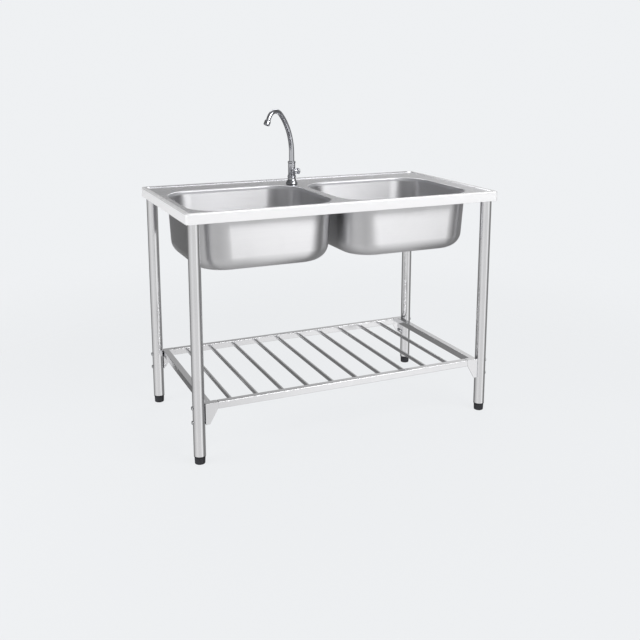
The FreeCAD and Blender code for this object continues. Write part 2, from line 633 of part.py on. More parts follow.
def spout_loft(inset, start, stations):
    """Loft through circles square to the spout's centre line, inset from its outside."""
    wires = []
    for i in range(stations + 1):
        s = start + (SPOUT_LENGTH - start) * i / stations
        radius = SPOUT_R + (SPOUT_END_R - SPOUT_R) * s / SPOUT_LENGTH
        circle = Part.Wire(Part.makeCircle(radius - inset))
        circle.Placement = spout_placement(s)
        wires.append(circle)
    return Part.makeLoft(wires, True)


def tap_spout():
    """Swan-neck spout, thinner towards its end."""
    bore_start = NECK_TOP_Z - SPOUT_FOOT_Z - SPARE
    spout = spout_loft(0, 0, 26).cut(spout_loft(SPOUT_WALL, bore_start, 24))
    return spout.cut(upright(NECK_R + SLIP, TAP_X, TAP_Y, SPOUT_FOOT_Z - SPARE, NECK_TOP_Z + SPARE / 2))


def tap_aerator():
    """Nozzle screwed on the spout's end, with its mesh disc."""
    length, rim, lip = NOZZLE_LENGTH, NOZZLE_R, NOZZLE_R - NOZZLE_LIP
    mesh = length - MESH_DEPTH
    profile = [(SPOUT_END_R - SPOUT_WALL, 0), (SPOUT_END_R + 0.4, 0), (SPOUT_END_R + 1.2, 1), (rim, 6),
               (rim, length - 1), (rim - 1, length), (lip, length), (lip, mesh), (0, mesh), (0, mesh - MESH),
               (lip, mesh - MESH), (lip, 8)]
    points = [Vector(a, 0, b) for a, b in profile]
    nozzle = Part.Face(Part.makePolygon(points + points[:1])).revolve(Vector(0, 0, 0), UP, 360)
    nozzle.Placement = spout_placement(SPOUT_LENGTH)
    return nozzle


def tap_locknut():
    """Washer and hexagon nut that clamp the tap under the top."""
    washer_z = DECK_UNDER_Z - TAP_WASHER
    nut_z = washer_z - TAP_NUT_HEIGHT
    points = [Vector(TAP_X + a, TAP_Y + b, nut_z) for a, b in around(6, TAP_NUT_FLATS / math.sqrt(3))]
    nut = Part.Face(Part.makePolygon(points + points[:1])).extrude(Vector(0, 0, TAP_NUT_HEIGHT))
    bore = upright(INLET_R + SLIP, TAP_X, TAP_Y, nut_z - SPARE, DECK_UNDER_Z + SPARE)
    washer = upright(TAP_WASHER_R, TAP_X, TAP_Y, washer_z, DECK_UNDER_Z)
    return Part.makeCompound([washer.cut(bore), nut.cut(bore)])


os.makedirs("parts", exist_ok=True)
save("sink_deck", sink_deck())
for side, x0 in BOWLS.items():
    save(side + "_bowl", bowl(x0))
    save(side + "_strainer_body", strainer_body(x0))
    save(side + "_strainer_basket", strainer_basket(x0))
save("strainer_gaskets", strainer_gaskets())
save("strainer_locknuts", strainer_locknuts())
for corner, (sx, sy) in CORNERS.items():
    save(corner + "_leg", leg(sx, sy))
    save(corner + "_leg_socket", leg_socket(sx, sy))
    save(corner + "_foot_insert", foot_insert(sx, sy))
    save(corner + "_foot_pad", foot_pad(sx, sy))
    save(corner + "_levelling_screw", levelling_screw(sx, sy))
    save(corner + "_shelf_bracket", shelf_bracket(sx, sy))
save("leg_grub_screws", grub_screws())
save("shelf_front_rail", long_rail(-1))
save("shelf_back_rail", long_rail(1))
save("shelf_left_rail", end_rail(-1))
save("shelf_right_rail", end_rail(1))
for index in range(1, SLAT_COUNT + 1):
    save("shelf_slat_%02d" % index, slat(index))
save("shelf_bolts", each_bolt(shelf_bolt))
save("shelf_nuts", each_bolt(shelf_nut))
for make in (tap_gasket, tap_base, tap_body, tap_cartridge, tap_handle, spout_nut, spout_seal, tap_spout,
             tap_aerator, tap_locknut):
    save(make.__name__, make())
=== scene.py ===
import json
import math
import bmesh
import bpy
from mathutils import Matrix, Vector


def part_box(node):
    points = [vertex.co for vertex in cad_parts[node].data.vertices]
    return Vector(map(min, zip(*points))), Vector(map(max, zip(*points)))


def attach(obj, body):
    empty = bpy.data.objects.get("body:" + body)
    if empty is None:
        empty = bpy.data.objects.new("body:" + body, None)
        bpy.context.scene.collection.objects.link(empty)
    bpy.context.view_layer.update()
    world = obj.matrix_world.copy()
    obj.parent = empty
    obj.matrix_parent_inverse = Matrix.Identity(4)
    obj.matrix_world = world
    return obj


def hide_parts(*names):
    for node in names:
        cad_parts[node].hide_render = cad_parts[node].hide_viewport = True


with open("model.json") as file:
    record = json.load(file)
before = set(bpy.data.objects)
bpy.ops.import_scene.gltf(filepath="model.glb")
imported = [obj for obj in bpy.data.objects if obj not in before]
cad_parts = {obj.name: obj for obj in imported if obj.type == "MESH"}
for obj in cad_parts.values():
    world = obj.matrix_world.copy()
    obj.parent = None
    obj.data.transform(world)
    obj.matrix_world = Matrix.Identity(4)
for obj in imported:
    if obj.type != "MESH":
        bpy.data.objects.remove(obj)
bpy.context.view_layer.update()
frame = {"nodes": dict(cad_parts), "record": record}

scene = bpy.context.scene


# THE PRESSED TOP
# One sheet of 1 mm stainless steel, pressed with a raised rim, two rolled openings and a folded edge
# with a hem, then brushed lengthwise. Everything else hangs from it.

SHEET = 0.001
top_low, top_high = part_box("sink_deck")
TOP_X = top_high.x
TOP_Y = top_high.y
TOP_Z = top_high.z
HEM_Z = top_low.z
CORNER_R = 0.012
EDGE_R = 0.004
RIM_WIDTH = 0.014
RIM_STEP = 0.003
HEM_WIDTH = 0.008
HEM_FOLD = 0.0016
TIGHTEST_R = 0.002
DECK_Z = TOP_Z - RIM_STEP
LIP_R = 0.005
BOWL_CORNER_R = 0.105
COLLAR_FOOT_Z = TOP_Z - 0.015
CORNER_STEPS = 20
SHARP = 40
SAME_POINT = 1e-6


def add(tree, kind, inputs=None, **settings):
    """A node, with its settings and inputs; an input is a plain value or the socket that feeds it."""
    node = tree.nodes.new(kind)
    for key, value in settings.items():
        setattr(node, key, value)
    for key, value in (inputs or {}).items():
        if isinstance(value, bpy.types.NodeSocket):
            tree.links.new(value, node.inputs[key])
        else:
            node.inputs[key].default_value = value
    return node


def new_tree(name, kind, inputs, outputs):
    """A node group with its named sockets, given as (name, type, value), and its two end nodes."""
    tree = bpy.data.node_groups.new(name, kind)
    for title, socket, value in inputs:
        item = tree.interface.new_socket(title, in_out="INPUT", socket_type=socket)
        if value is not None:
            item.default_value = value
    for title, socket in outputs:
        tree.interface.new_socket(title, in_out="OUTPUT", socket_type=socket)
    return tree, tree.nodes.new("NodeGroupInput").outputs, tree.nodes.new("NodeGroupOutput").inputs


def brushed_grain_group():
    """Fine lines left by the belt: Height for a bump, Shade for roughness and tone."""
    tree, given, out = new_tree(
        "brushed grain", "ShaderNodeTree",
        [("Vector", "NodeSocketVector", None), ("Lines", "NodeSocketFloat", 900.0),
         ("Stretch", "NodeSocketFloat", 60.0)],
        [("Height", "NodeSocketFloat"), ("Shade", "NodeSocketFloat")])
    across = add(tree, "ShaderNodeMath", {0: given["Lines"], 1: given["Stretch"]}, operation="DIVIDE")
    scale = add(tree, "ShaderNodeCombineXYZ", {"X": across.outputs[0], "Y": given["Lines"],
                                               "Z": given["Lines"]})
    place = add(tree, "ShaderNodeVectorMath", {0: given["Vector"], 1: scale.outputs[0]}, operation="MULTIPLY")
    fine = add(tree, "ShaderNodeTexNoise", {"Vector": place.outputs[0], "Scale": 1.0, "Detail": 3.0,
                                            "Roughness": 0.65})
    broad = add(tree, "ShaderNodeTexNoise", {"Vector": place.outputs[0], "Scale": 0.13, "Detail": 2.0})
    both = add(tree, "ShaderNodeMix", {"Factor": 0.45, 2: fine.outputs["Fac"], 3: broad.outputs["Fac"]})
    tree.links.new(fine.outputs["Fac"], out["Height"])
    tree.links.new(both.outputs[0], out["Shade"])
    return tree


def handling_group():
    """Soft smears and small scuffs left by hands and cloths, as a mask from 0 to 1."""
    tree, given, out = new_tree(
        "handling marks", "ShaderNodeTree",
        [("Vector", "NodeSocketVector", None), ("Scale", "NodeSocketFloat", 9.0),
         ("Amount", "NodeSocketFloat", 0.5)],
        [("Mask", "NodeSocketFloat")])
    smear = add(tree, "ShaderNodeTexNoise", {"Vector": given["Vector"], "Scale": given["Scale"],
                                             "Detail": 5.0, "Distortion": 0.6})
    soft = add(tree, "ShaderNodeMapRange", {"Value": smear.outputs["Fac"], "From Min": 0.42,
                                            "From Max": 0.72}, interpolation_type="SMOOTHSTEP")
    fleck = add(tree, "ShaderNodeTexVoronoi", {"Vector": given["Vector"], "Scale": 140.0}, feature="F1")
    dot = add(tree, "ShaderNodeMapRange", {"Value": fleck.outputs["Distance"], "From Min": 0.16,
                                           "From Max": 0.05})
    sparse = add(tree, "ShaderNodeMath", {0: dot.outputs[0], 1: soft.outputs[0]}, operation="MULTIPLY")
    both = add(tree, "ShaderNodeMath", {0: soft.outputs[0], 1: sparse.outputs[0]}, operation="MAXIMUM")
    scaled = add(tree, "ShaderNodeMath", {0: both.outputs[0], 1: given["Amount"]}, operation="MULTIPLY",
                 use_clamp=True)
    tree.links.new(scaled.outputs[0], out["Mask"])
    return tree


BRUSHED_GRAIN = brushed_grain_group()
HANDLING = handling_group()
HANDLED_ROUGHER = 0.08
HANDLED_TONE = 0.90
LINE_TONE = (0.93, 0.93, 0.94, 1)


def steel(name, colour, roughness, lines, stretch, along, depth, marks, spread, streak=0):
    """Metal brushed along one axis, a little duller where it has been handled.

    lines per metre and their stretch shape the grain, depth is its bump, marks the share of handling,
    spread the change of roughness between lines, and streak draws mirrored light upright.
    """
    material = bpy.data.materials.new(name)
    material.use_nodes = True
    tree = material.node_tree
    bsdf = tree.nodes["Principled BSDF"]
    bsdf.inputs["Metallic"].default_value = 1.0
    bsdf.inputs["Anisotropic"].default_value = streak
    bsdf.inputs["Anisotropic Rotation"].default_value = 0.25
    place = add(tree, "ShaderNodeTexCoord").outputs["Object"]
    turn = {"X": (0, 0, 0), "Y": (0, 0, math.pi / 2), "Z": (0, math.pi / 2, 0)}[along]
    turned = add(tree, "ShaderNodeMapping", {"Vector": place, "Rotation": turn})
    grain = add(tree, "ShaderNodeGroup", {}, node_tree=BRUSHED_GRAIN)
    tree.links.new(turned.outputs[0], grain.inputs["Vector"])
    grain.inputs["Lines"].default_value = lines
    grain.inputs["Stretch"].default_value = stretch
    hands = add(tree, "ShaderNodeGroup", {}, node_tree=HANDLING)
    tree.links.new(place, hands.inputs["Vector"])
    hands.inputs["Amount"].default_value = marks
    rough = add(tree, "ShaderNodeMapRange", {
        "Value": grain.outputs["Shade"], "From Min": 0.25, "From Max": 0.75,
        "To Min": roughness - spread / 2, "To Max": roughness + spread / 2})
    rougher = add(tree, "ShaderNodeMath", {0: hands.outputs["Mask"], 1: HANDLED_ROUGHER, 2: rough.outputs[0]},
                  operation="MULTIPLY_ADD")
    tree.links.new(rougher.outputs[0], bsdf.inputs["Roughness"])
    dull = tuple(HANDLED_TONE * c for c in colour)
    tone = add(tree, "ShaderNodeMix", {"Factor": hands.outputs["Mask"], 6: (*colour, 1), 7: (*dull, 1)},
               data_type="RGBA")
    lined = add(tree, "ShaderNodeMix", {"Factor": grain.outputs["Shade"], 6: tone.outputs[2], 7: LINE_TONE},
                data_type="RGBA", blend_type="MULTIPLY")
    tree.links.new(lined.outputs[2], bsdf.inputs["Base Color"])
    bump = add(tree, "ShaderNodeBump", {"Height": grain.outputs["Height"], "Strength": 0.35,
                                        "Distance": depth})
    tree.links.new(bump.outputs[0], bsdf.inputs["Normal"])
    return material


def smooth(piece, angle=35):
    """Smooth shading that keeps real corners sharp and flat faces flat."""
    mesh = piece.data
    mesh.polygons.foreach_set("use_smooth", [True] * len(mesh.polygons))
    mesh.set_sharp_from_angle(angle=math.radians(angle))
    flat = piece.modifiers.new("flat", "WEIGHTED_NORMAL")
    flat.keep_sharp = True
    flat.weight = 100
    return applied(piece)


def applied(piece):
    """Turns the piece's modifiers into its mesh."""
    ready = piece.evaluated_get(bpy.context.evaluated_depsgraph_get())
    mesh = bpy.data.meshes.new_from_object(ready)
    piece.modifiers.clear()
    piece.data = mesh
    return piece


def placed(name, mesh):
    """A new object at the origin that holds the mesh."""
    piece = bpy.data.objects.new(name, mesh)
    scene.collection.objects.link(piece)
    return piece


def made(name, vertices, faces):
    """A piece from its points and faces, with doubles merged and its faces pointing outwards."""
    mesh = bpy.data.meshes.new(name)
    mesh.from_pydata([tuple(v) for v in vertices], [], faces)
    work = bmesh.new()
    work.from_mesh(mesh)
    bmesh.ops.remove_doubles(work, verts=work.verts, dist=SAME_POINT)
    bmesh.ops.recalc_face_normals(work, faces=work.faces)
    work.to_mesh(mesh)
    work.free()
    return placed(name, mesh)


def skin(rings, closed=False):
    """Points and faces of a skin through rings of equal count; closed joins the last ring to the first."""
    count = len(rings[0])
    points = [p for ring in rings for p in ring]
    last = len(rings) if closed else len(rings) - 1
    faces = []
    for i in range(last):
        a, b = i * count, (i + 1) % len(rings) * count
        faces += [(a + j, a + (j + 1) % count, b + (j + 1) % count, b + j) for j in range(count)]
    return points, faces


def rounded(x0, x1, y0, y1, r, z, steps=CORNER_STEPS):
    """A level ring with round corners, counter-clockwise from the +X side."""
    ring = []
    corners = ((x1 - r, y1 - r, 0), (x0 + r, y1 - r, 90), (x0 + r, y0 + r, 180), (x1 - r, y0 + r, 270))
    for cx, cy, start in corners:
        for i in range(steps + 1):
            a = math.radians(start + 90 * i / steps)
            ring.append((cx + r * math.cos(a), cy + r * math.sin(a), z))
    return ring


def quarter(r, start, stop, steps):
    """Points of an arc about the origin, from one angle to another, in degrees."""
    return [(r * math.cos(math.radians(start + (stop - start) * i / steps)),
             r * math.sin(math.radians(start + (stop - start) * i / steps))) for i in range(steps + 1)]


def finish(piece, body, slot, material, *nodes):
    """Gives a piece its material, ties it to its body and hides the solids it stands for; slot is not used.
    """
    piece.data.materials.clear()
    piece.data.materials.append(material)
    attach(piece, body)
    if nodes:
        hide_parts(*nodes)
    return piece


left_low, left_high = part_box("left_bowl")
right_low, right_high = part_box("right_bowl")
OPENINGS = {"left": (left_low + Vector((SHEET, SHEET, 0)), left_high - Vector((SHEET, SHEET, 0))),
            "right": (right_low + Vector((SHEET, SHEET, 0)), right_high - Vector((SHEET, SHEET, 0)))}


def opening_ring(side, inset, z, corner_r=BOWL_CORNER_R):
    """The outline of a bowl opening, moved inwards by inset; corner_r is its corner before the move."""
    low, high = OPENINGS[side]
    return rounded(low.x + inset, high.x - inset, low.y + inset, high.y - inset, corner_r - inset, z)


def pressed_top():
    """Outer skin of the top, later thickened inwards by the sheet."""
    def outline(inset, z, r=None):
        r = max(CORNER_R - inset, TIGHTEST_R) if r is None else r
        return rounded(-TOP_X + inset, TOP_X - inset, -TOP_Y + inset, TOP_Y - inset, r, z)
    rings = [outline(HEM_WIDTH + SHEET, HEM_Z), outline(HEM_FOLD, HEM_Z), outline(0.0005, HEM_Z + 0.0005),
             outline(0, HEM_Z + HEM_FOLD), outline(0, TOP_Z - EDGE_R - 0.001)]
    for c, s in quarter(EDGE_R, 0, 90, 6):
        rings.append(outline(EDGE_R - c, TOP_Z - EDGE_R + s))
    rings.append(outline(EDGE_R + 0.001, TOP_Z, 0.009))
    step, drop = 0.0009, 0.0003
    rings += [outline(RIM_WIDTH - step, TOP_Z, CORNER_R), outline(RIM_WIDTH, TOP_Z - drop, CORNER_R),
              outline(RIM_WIDTH + RIM_STEP, DECK_Z + drop, CORNER_R),
              outline(RIM_WIDTH + RIM_STEP + step, DECK_Z, CORNER_R),
              outline(RIM_WIDTH + RIM_STEP + 0.004, DECK_Z, CORNER_R)]
    points, faces = skin(rings)
    for side in OPENINGS:
        lips = [opening_ring(side, -LIP_R - 0.003, DECK_Z)]
        for c, s in quarter(LIP_R, 90, 0, 7):
            lips.append(opening_ring(side, c - LIP_R, DECK_Z - LIP_R + s))
        lips += [opening_ring(side, 0, DECK_Z - LIP_R - 0.001), opening_ring(side, 0, COLLAR_FOOT_Z)]
        more, joined = skin(lips)
        faces += [tuple(len(points) + k for k in face) for face in joined]
        points += more
    mesh = bpy.data.meshes.new("sink_top")
    mesh.from_pydata(points, [], faces)
    work = bmesh.new()
    work.from_mesh(mesh)
    bmesh.ops.remove_doubles(work, verts=work.verts, dist=SAME_POINT)
    edge = [e for e in work.edges if e.is_boundary and abs(e.verts[0].co.z - DECK_Z) < SAME_POINT]
    bmesh.ops.triangle_fill(work, edges=edge, normal=(0, 0, 1))
    bmesh.ops.recalc_face_normals(work, faces=work.faces)
    if max(work.faces, key=lambda f: f.calc_area()).normal.z < 0:
        bmesh.ops.reverse_faces(work, faces=work.faces)
    work.to_mesh(mesh)
    work.free()
    piece = placed("sink_top", mesh)
    sheet = piece.modifiers.new("sheet", "SOLIDIFY")
    sheet.thickness = SHEET
    sheet.offset = -1
    sheet.use_even_offset = True
    return smooth(applied(piece), SHARP)


FRONT_STRIP = 0.022
RIM_BLEND = 0.003
RIM_SCATTER = 0.6
# pale colour painted on the outer rim and the front strip so they look brightly lit: painted light
RIM_PAINTED_BRIGHT_TONE = (0.96, 0.96, 0.97, 1)
LIP_ROUGHER = 0.34


def painted_bright_rim_and_dull_lips(material):
    """Past the pressed step the sheet is painted paler and less metallic so it looks brightly lit (painted
    light), and the rolled lips are duller.
    """
    tree = material.node_tree
    bsdf = tree.nodes["Principled BSDF"]
    place = add(tree, "ShaderNodeTexCoord").outputs["Object"]
    parts = add(tree, "ShaderNodeSeparateXYZ", {"Vector": place})
    ends = add(tree, "ShaderNodeMath", {0: parts.outputs["X"]}, operation="ABSOLUTE")
    past_end = add(tree, "ShaderNodeMath", {0: ends.outputs[0], 1: TOP_X - RIM_WIDTH}, operation="SUBTRACT")
    past_front = add(tree, "ShaderNodeMath", {0: -TOP_Y + FRONT_STRIP, 1: parts.outputs["Y"]},
                     operation="SUBTRACT")
    outside = add(tree, "ShaderNodeMath", {0: past_end.outputs[0], 1: past_front.outputs[0]},
                  operation="MAXIMUM")
    bright_rim_mask = add(tree, "ShaderNodeMapRange", {"Value": outside.outputs[0], "From Min": -RIM_BLEND,
                                            "From Max": RIM_BLEND}, interpolation_type="SMOOTHSTEP")
    metal = add(tree, "ShaderNodeMath", {0: bright_rim_mask.outputs[0], 1: -RIM_SCATTER, 2: 1.0},
                operation="MULTIPLY_ADD")
    tree.links.new(metal.outputs[0], bsdf.inputs["Metallic"])
    brushed = bsdf.inputs["Base Color"].links[0].from_socket
    # the rim and front strip take the pale painted-light colour here
    tone = add(tree, "ShaderNodeMix", {"Factor": bright_rim_mask.outputs[0], 6: brushed, 7: RIM_PAINTED_BRIGHT_TONE}, data_type="RGBA")
    tree.links.new(tone.outputs[2], bsdf.inputs["Base Color"])
    rolled = add(tree, "ShaderNodeMapRange", {"Value": parts.outputs["Z"], "From Min": DECK_Z - 0.0005,
                                              "From Max": DECK_Z - LIP_R, "To Max": LIP_ROUGHER})
    plain = bsdf.inputs["Roughness"].links[0].from_socket
    duller = add(tree, "ShaderNodeMath", {0: rolled.outputs[0], 1: plain})
    tree.links.new(duller.outputs[0], bsdf.inputs["Roughness"])


TOP_STEEL = steel("brushed sheet", (0.86, 0.86, 0.88), 0.24, 1500, 90, "X", 0.00003, 0.4, 0.10)
# paints the outer rim and front strip paler so they look brightly lit (painted light)
painted_bright_rim_and_dull_lips(TOP_STEEL)
finish(pressed_top(), "sink_frame", "bowl_steel", TOP_STEEL, "sink_deck")


# THE BOWLS
# Two deep-drawn bowls of the same sheet, a little narrower at the floor, welded edge to edge under the
# collars of the openings and satin polished.

FLOOR_SWEEP_R = 0.048
FLOOR_CORNER_R = 0.115
DRAFT = 0.006
DRAIN_R = 0.045
DRAIN_SLOPE = 0.012
BOWL_FLOOR_Z = left_low.z + SHEET
WALL_HEIGHT = COLLAR_FOOT_Z - BOWL_FLOOR_Z
WALL_TILT = math.degrees(math.atan(DRAFT / WALL_HEIGHT))
BOWL_STEEL = steel("satin bowl", (0.78, 0.78, 0.79), 0.40, 1100, 45, "X", 0.00002, 0.4, 0.06, 0.88)


def drain_centre(side):
    low, high = OPENINGS[side]
    return (low.x + high.x) / 2, (low.y + high.y) / 2


def wall_ring(side, z, inset):
    """A bowl's outline at one height, moved inwards from the leaning wall by inset."""
    share = (COLLAR_FOOT_Z - z) / WALL_HEIGHT
    corner_r = BOWL_CORNER_R + (FLOOR_CORNER_R - BOWL_CORNER_R + DRAFT) * share
    return opening_ring(side, DRAFT * share + inset, z, corner_r)


def bowl_side(side, grow):
    """Rings down the wall, round the sweep and across the floor to the drain; grow is 0 inside."""
    x, y = drain_centre(side)
    sweep_z = BOWL_FLOOR_Z + FLOOR_SWEEP_R
    rings = [wall_ring(side, COLLAR_FOOT_Z - share * (COLLAR_FOOT_Z - sweep_z), -grow)
             for share in (0, 0.4, 0.8)]
    r = FLOOR_SWEEP_R + grow
    for c, s in quarter(r, WALL_TILT, 90, 14):
        rings.append(wall_ring(side, sweep_z - s, FLOOR_SWEEP_R - c))
    floor_z = BOWL_FLOOR_Z - grow
    rings.append(wall_ring(side, floor_z, FLOOR_SWEEP_R + 0.004))
    for ring_r in (DRAIN_R + DRAIN_SLOPE, DRAIN_R):
        rings.append(rounded(x - ring_r, x + ring_r, y - ring_r, y + ring_r, ring_r, floor_z))
    return rings


for side in OPENINGS:
    walls = bowl_side(side, 0) + bowl_side(side, SHEET)[::-1]
    shell = made(side + "_bowl_shell", *skin(walls, closed=True))
    finish(smooth(shell), "sink_frame", "bowl_steel", BOWL_STEEL, side + "_bowl")


# WELDS
# A rippled bead runs round each bowl where it meets its collar, and round both ends of every shelf
# slat. One node tree lays a bead along whatever loops it is given.

TUBE_STEEL = steel("bright tube", (0.88, 0.88, 0.89), 0.15, 700, 30, "Z", 0.00002, 0.3, 0.06)
rail_low, rail_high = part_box("shelf_front_rail")
slat_low, slat_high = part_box("shelf_slat_01")
SLATS = [name for name in frame["nodes"] if name.startswith("shelf_slat")]
SLAT_R = (slat_high.x - slat_low.x) / 2
SLAT_Z = (slat_low.z + slat_high.z) / 2
RAIL = rail_high.z - rail_low.z
BOWL_BEAD = 0.0022
SLAT_BEAD = 0.0018
BEAD_PITCH = 0.7


def bead_tree():
    """Overlapping flattened drops along every loop of the mesh that comes in."""
    tree, given, out = new_tree(
        "weld bead", "GeometryNodeTree",
        [("Loops", "NodeSocketGeometry", None), ("Width", "NodeSocketFloat", 0.002),
         ("Pitch", "NodeSocketFloat", 0.0015), ("Material", "NodeSocketMaterial", None)],
        [("Bead", "NodeSocketGeometry")])
    path = add(tree, "GeometryNodeMeshToCurve", {"Mesh": given["Loops"]})
    places = add(tree, "GeometryNodeCurveToPoints", {"Curve": path.outputs[0], "Length": given["Pitch"]},
                 mode="LENGTH")
    half = add(tree, "ShaderNodeMath", {0: given["Width"], 1: 0.5}, operation="MULTIPLY")
    drop = add(tree, "GeometryNodeMeshUVSphere", {"Segments": 6, "Rings": 4, "Radius": half.outputs[0]})
    row = add(tree, "GeometryNodeInstanceOnPoints", {
        "Points": places.outputs["Points"], "Instance": drop.outputs["Mesh"],
        "Rotation": places.outputs["Rotation"], "Scale": (1.0, 1.0, 0.8)})
    real = add(tree, "GeometryNodeRealizeInstances", {"Geometry": row.outputs[0]})
    done = add(tree, "GeometryNodeSetMaterial", {"Geometry": real.outputs[0], "Material": given["Material"]})
    tree.links.new(done.outputs[0], out["Bead"])
    return tree


def grown(piece, tree, **inputs):
    """Runs a node tree on the piece with its named inputs, and keeps the result as plain mesh."""
    step = piece.modifiers.new(tree.name, "NODES")
    step.node_group = tree
    for item in tree.interface.items_tree:
        if item.in_out == "INPUT" and item.name in inputs:
            step[item.identifier] = inputs[item.name]
    return applied(piece)


def weld(name, loops, width, slot, material):
    """A bead along closed loops of points."""
    points = [p for loop in loops for p in loop]
    edges, start = [], 0
    for loop in loops:
        edges += [(start + i, start + (i + 1) % len(loop)) for i in range(len(loop))]
        start += len(loop)
    mesh = bpy.data.meshes.new(name)
    mesh.from_pydata(points, edges, [])
    piece = grown(placed(name, mesh), WELD_BEAD, Width=width, Pitch=BEAD_PITCH * width, Material=material)
    piece.data.polygons.foreach_set("use_smooth", [True] * len(piece.data.polygons))
    finish(piece, "sink_frame", slot, material)


WELD_BEAD = bead_tree()
for side in OPENINGS:
    seam = opening_ring(side, -SHEET, COLLAR_FOOT_Z)
    weld(side + "_bowl_weld", [seam], BOWL_BEAD, "bowl_steel", BOWL_STEEL)


def slat_places():
    """Middle of each slat along X."""
    return [(low.x + high.x) / 2 for low, high in map(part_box, SLATS)]


def slat_ends():
    """Circles where the slats meet the rails."""
    inset = 0.0004
    loops = []
    for x in slat_places():
        for y in (slat_low.y + inset, slat_high.y - inset):
            turns = [math.tau * i / 24 for i in range(24)]
            loops.append([(x + SLAT_R * math.cos(a), y, SLAT_Z + SLAT_R * math.sin(a)) for a in turns])
    return loops


weld("slat_welds", slat_ends(), SLAT_BEAD, "tube_steel", TUBE_STEEL)


# LEGS AND FEET
# Four bright steel tubes, open above round the sockets, with a black plug pressed in below that shows
# as a rim as wide as the tube, and a levelling foot that tapers to its sole.

def lathe(outline, place, steps=64, wave=None):
    """Skin turned round the local Z of a placement from a closed (radius, height) outline."""
    rings = []
    for r, z in outline:
        ring = []
        for i in range(steps):
            a = math.tau * i / steps
            swell = wave(a, r) if wave else r
            ring.append(tuple(place @ Vector((swell * math.cos(a), swell * math.sin(a), z))))
        rings.append(ring)
    return skin(rings, closed=True)


def upright_at(node):
    """Placement on the floor under the middle of a node."""
    low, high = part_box(node)
    return Matrix.Translation(((low.x + high.x) / 2, (low.y + high.y) / 2, 0))


def moulded(name, colour, roughness, grain, depth):
    """Plastic or rubber with the fine matt grain of its mould."""
    material = bpy.data.materials.new(name)
    material.use_nodes = True
    tree = material.node_tree
    bsdf = tree.nodes["Principled BSDF"]
    place = add(tree, "ShaderNodeTexCoord").outputs["Object"]
    hands = add(tree, "ShaderNodeGroup", {}, node_tree=HANDLING)
    tree.links.new(place, hands.inputs["Vector"])
    hands.inputs["Amount"].default_value = 0.4
    pores = add(tree, "ShaderNodeTexNoise", {"Vector": place, "Scale": grain, "Detail": 3.0})
    rough = add(tree, "ShaderNodeMapRange", {"Value": pores.outputs["Fac"], "To Min": roughness - 0.08,
                                             "To Max": roughness + 0.08})
    tree.links.new(rough.outputs[0], bsdf.inputs["Roughness"])
    paler = tuple(1.9 * c + 0.004 for c in colour)
    tone = add(tree, "ShaderNodeMix", {"Factor": hands.outputs["Mask"], 6: (*colour, 1), 7: (*paler, 1)},
               data_type="RGBA")
    tree.links.new(tone.outputs[2], bsdf.inputs["Base Color"])
    bump = add(tree, "ShaderNodeBump", {"Height": pores.outputs["Fac"], "Strength": 0.3, "Distance": depth})
    tree.links.new(bump.outputs[0], bsdf.inputs["Normal"])
    return material


BLACK_PLASTIC = moulded("black plastic", (0.020, 0.021, 0.026), 0.38, 2600, 0.00005)
RUBBER = moulded("rubber", (0.022, 0.022, 0.022), 0.62, 1800, 0.00008)
CORNERS = ("front_left", "front_right", "back_left", "back_right")
LEG_WALL = 0.0012
TUBE_BREAK = 0.0003
PLUG_GAP = 0.0001
FOOT_RIM_R = 0.0178
FOOT_PAD_R = 0.0173
FOOT_SOLE_R = 0.0164
SOLE_EDGE_R = 0.002
STEM_HOLE_R = 0.00505
DISC_HOLE_R = 0.00905
DISC_HOLE_Z = (0.00795, 0.01205)


def leg_tube(corner):
    """Tube with its cut edges broken."""
    low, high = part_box(corner + "_leg")
    r, e = (high.x - low.x) / 2, TUBE_BREAK
    inner = r - LEG_WALL
    outline = [(inner, low.z), (r - e, low.z), (r, low.z + e), (r, high.z - e), (r - e, high.z),
               (inner, high.z)]
    return made(corner + "_tube", *lathe(outline, upright_at(corner + "_leg"), 96))


def foot_rim(corner):
    """Plug with its visible rim."""
    low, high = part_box(corner + "_foot_insert")
    leg_low, leg_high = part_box(corner + "_leg")
    r = (leg_high.x - leg_low.x) / 2
    plug = r - LEG_WALL - PLUG_GAP
    outline = [(STEM_HOLE_R, low.z), (FOOT_RIM_R - 0.0008, low.z), (FOOT_RIM_R, low.z + 0.0004),
               (r - 0.0003, low.z + 0.0020), (r, low.z + 0.0026), (r, leg_low.z - 0.0004),
               (r - 0.0004, leg_low.z), (plug, leg_low.z), (plug, high.z - 0.002), (plug - 0.002, high.z),
               (STEM_HOLE_R, high.z)]
    return made(corner + "_foot_rim", *lathe(outline, upright_at(corner + "_leg")))


def foot(corner):
    """Pad with a round-edged sole and a pocket for the disc of its levelling screw."""
    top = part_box(corner + "_foot_pad")[1].z
    disc_low, disc_high = DISC_HOLE_Z
    outline = [(0, 0), (FOOT_SOLE_R - SOLE_EDGE_R, 0)]
    outline += [(FOOT_SOLE_R - SOLE_EDGE_R + c, SOLE_EDGE_R + s) for c, s in quarter(SOLE_EDGE_R, -90, 0, 5)]
    outline += [(FOOT_PAD_R, top - 0.0015), (FOOT_PAD_R - 0.0003, top - 0.0007), (FOOT_PAD_R - 0.0010, top),
                (STEM_HOLE_R, top), (STEM_HOLE_R, disc_high), (DISC_HOLE_R, disc_high),
                (DISC_HOLE_R, disc_low), (0, disc_low)]
    return made(corner + "_foot", *lathe(outline, upright_at(corner + "_leg")))


for corner in CORNERS:
    finish(smooth(leg_tube(corner)), "sink_frame", "tube_steel", TUBE_STEEL, corner + "_leg")
    finish(smooth(foot_rim(corner), 50), "sink_frame", "black_plastic", BLACK_PLASTIC,
           corner + "_foot_insert")
    finish(smooth(foot(corner), 50), corner + "_foot", "black_plastic", BLACK_PLASTIC, corner + "_foot_pad")


# THE SHELF
# Square tube rails with a small bend radius, ten round slats welded between them, and pressed corner
# brackets whose flange is bolted through the leg with two dome-headed bolts.

RAIL_BEND = 0.0016
SHEET_BEND = 0.0007


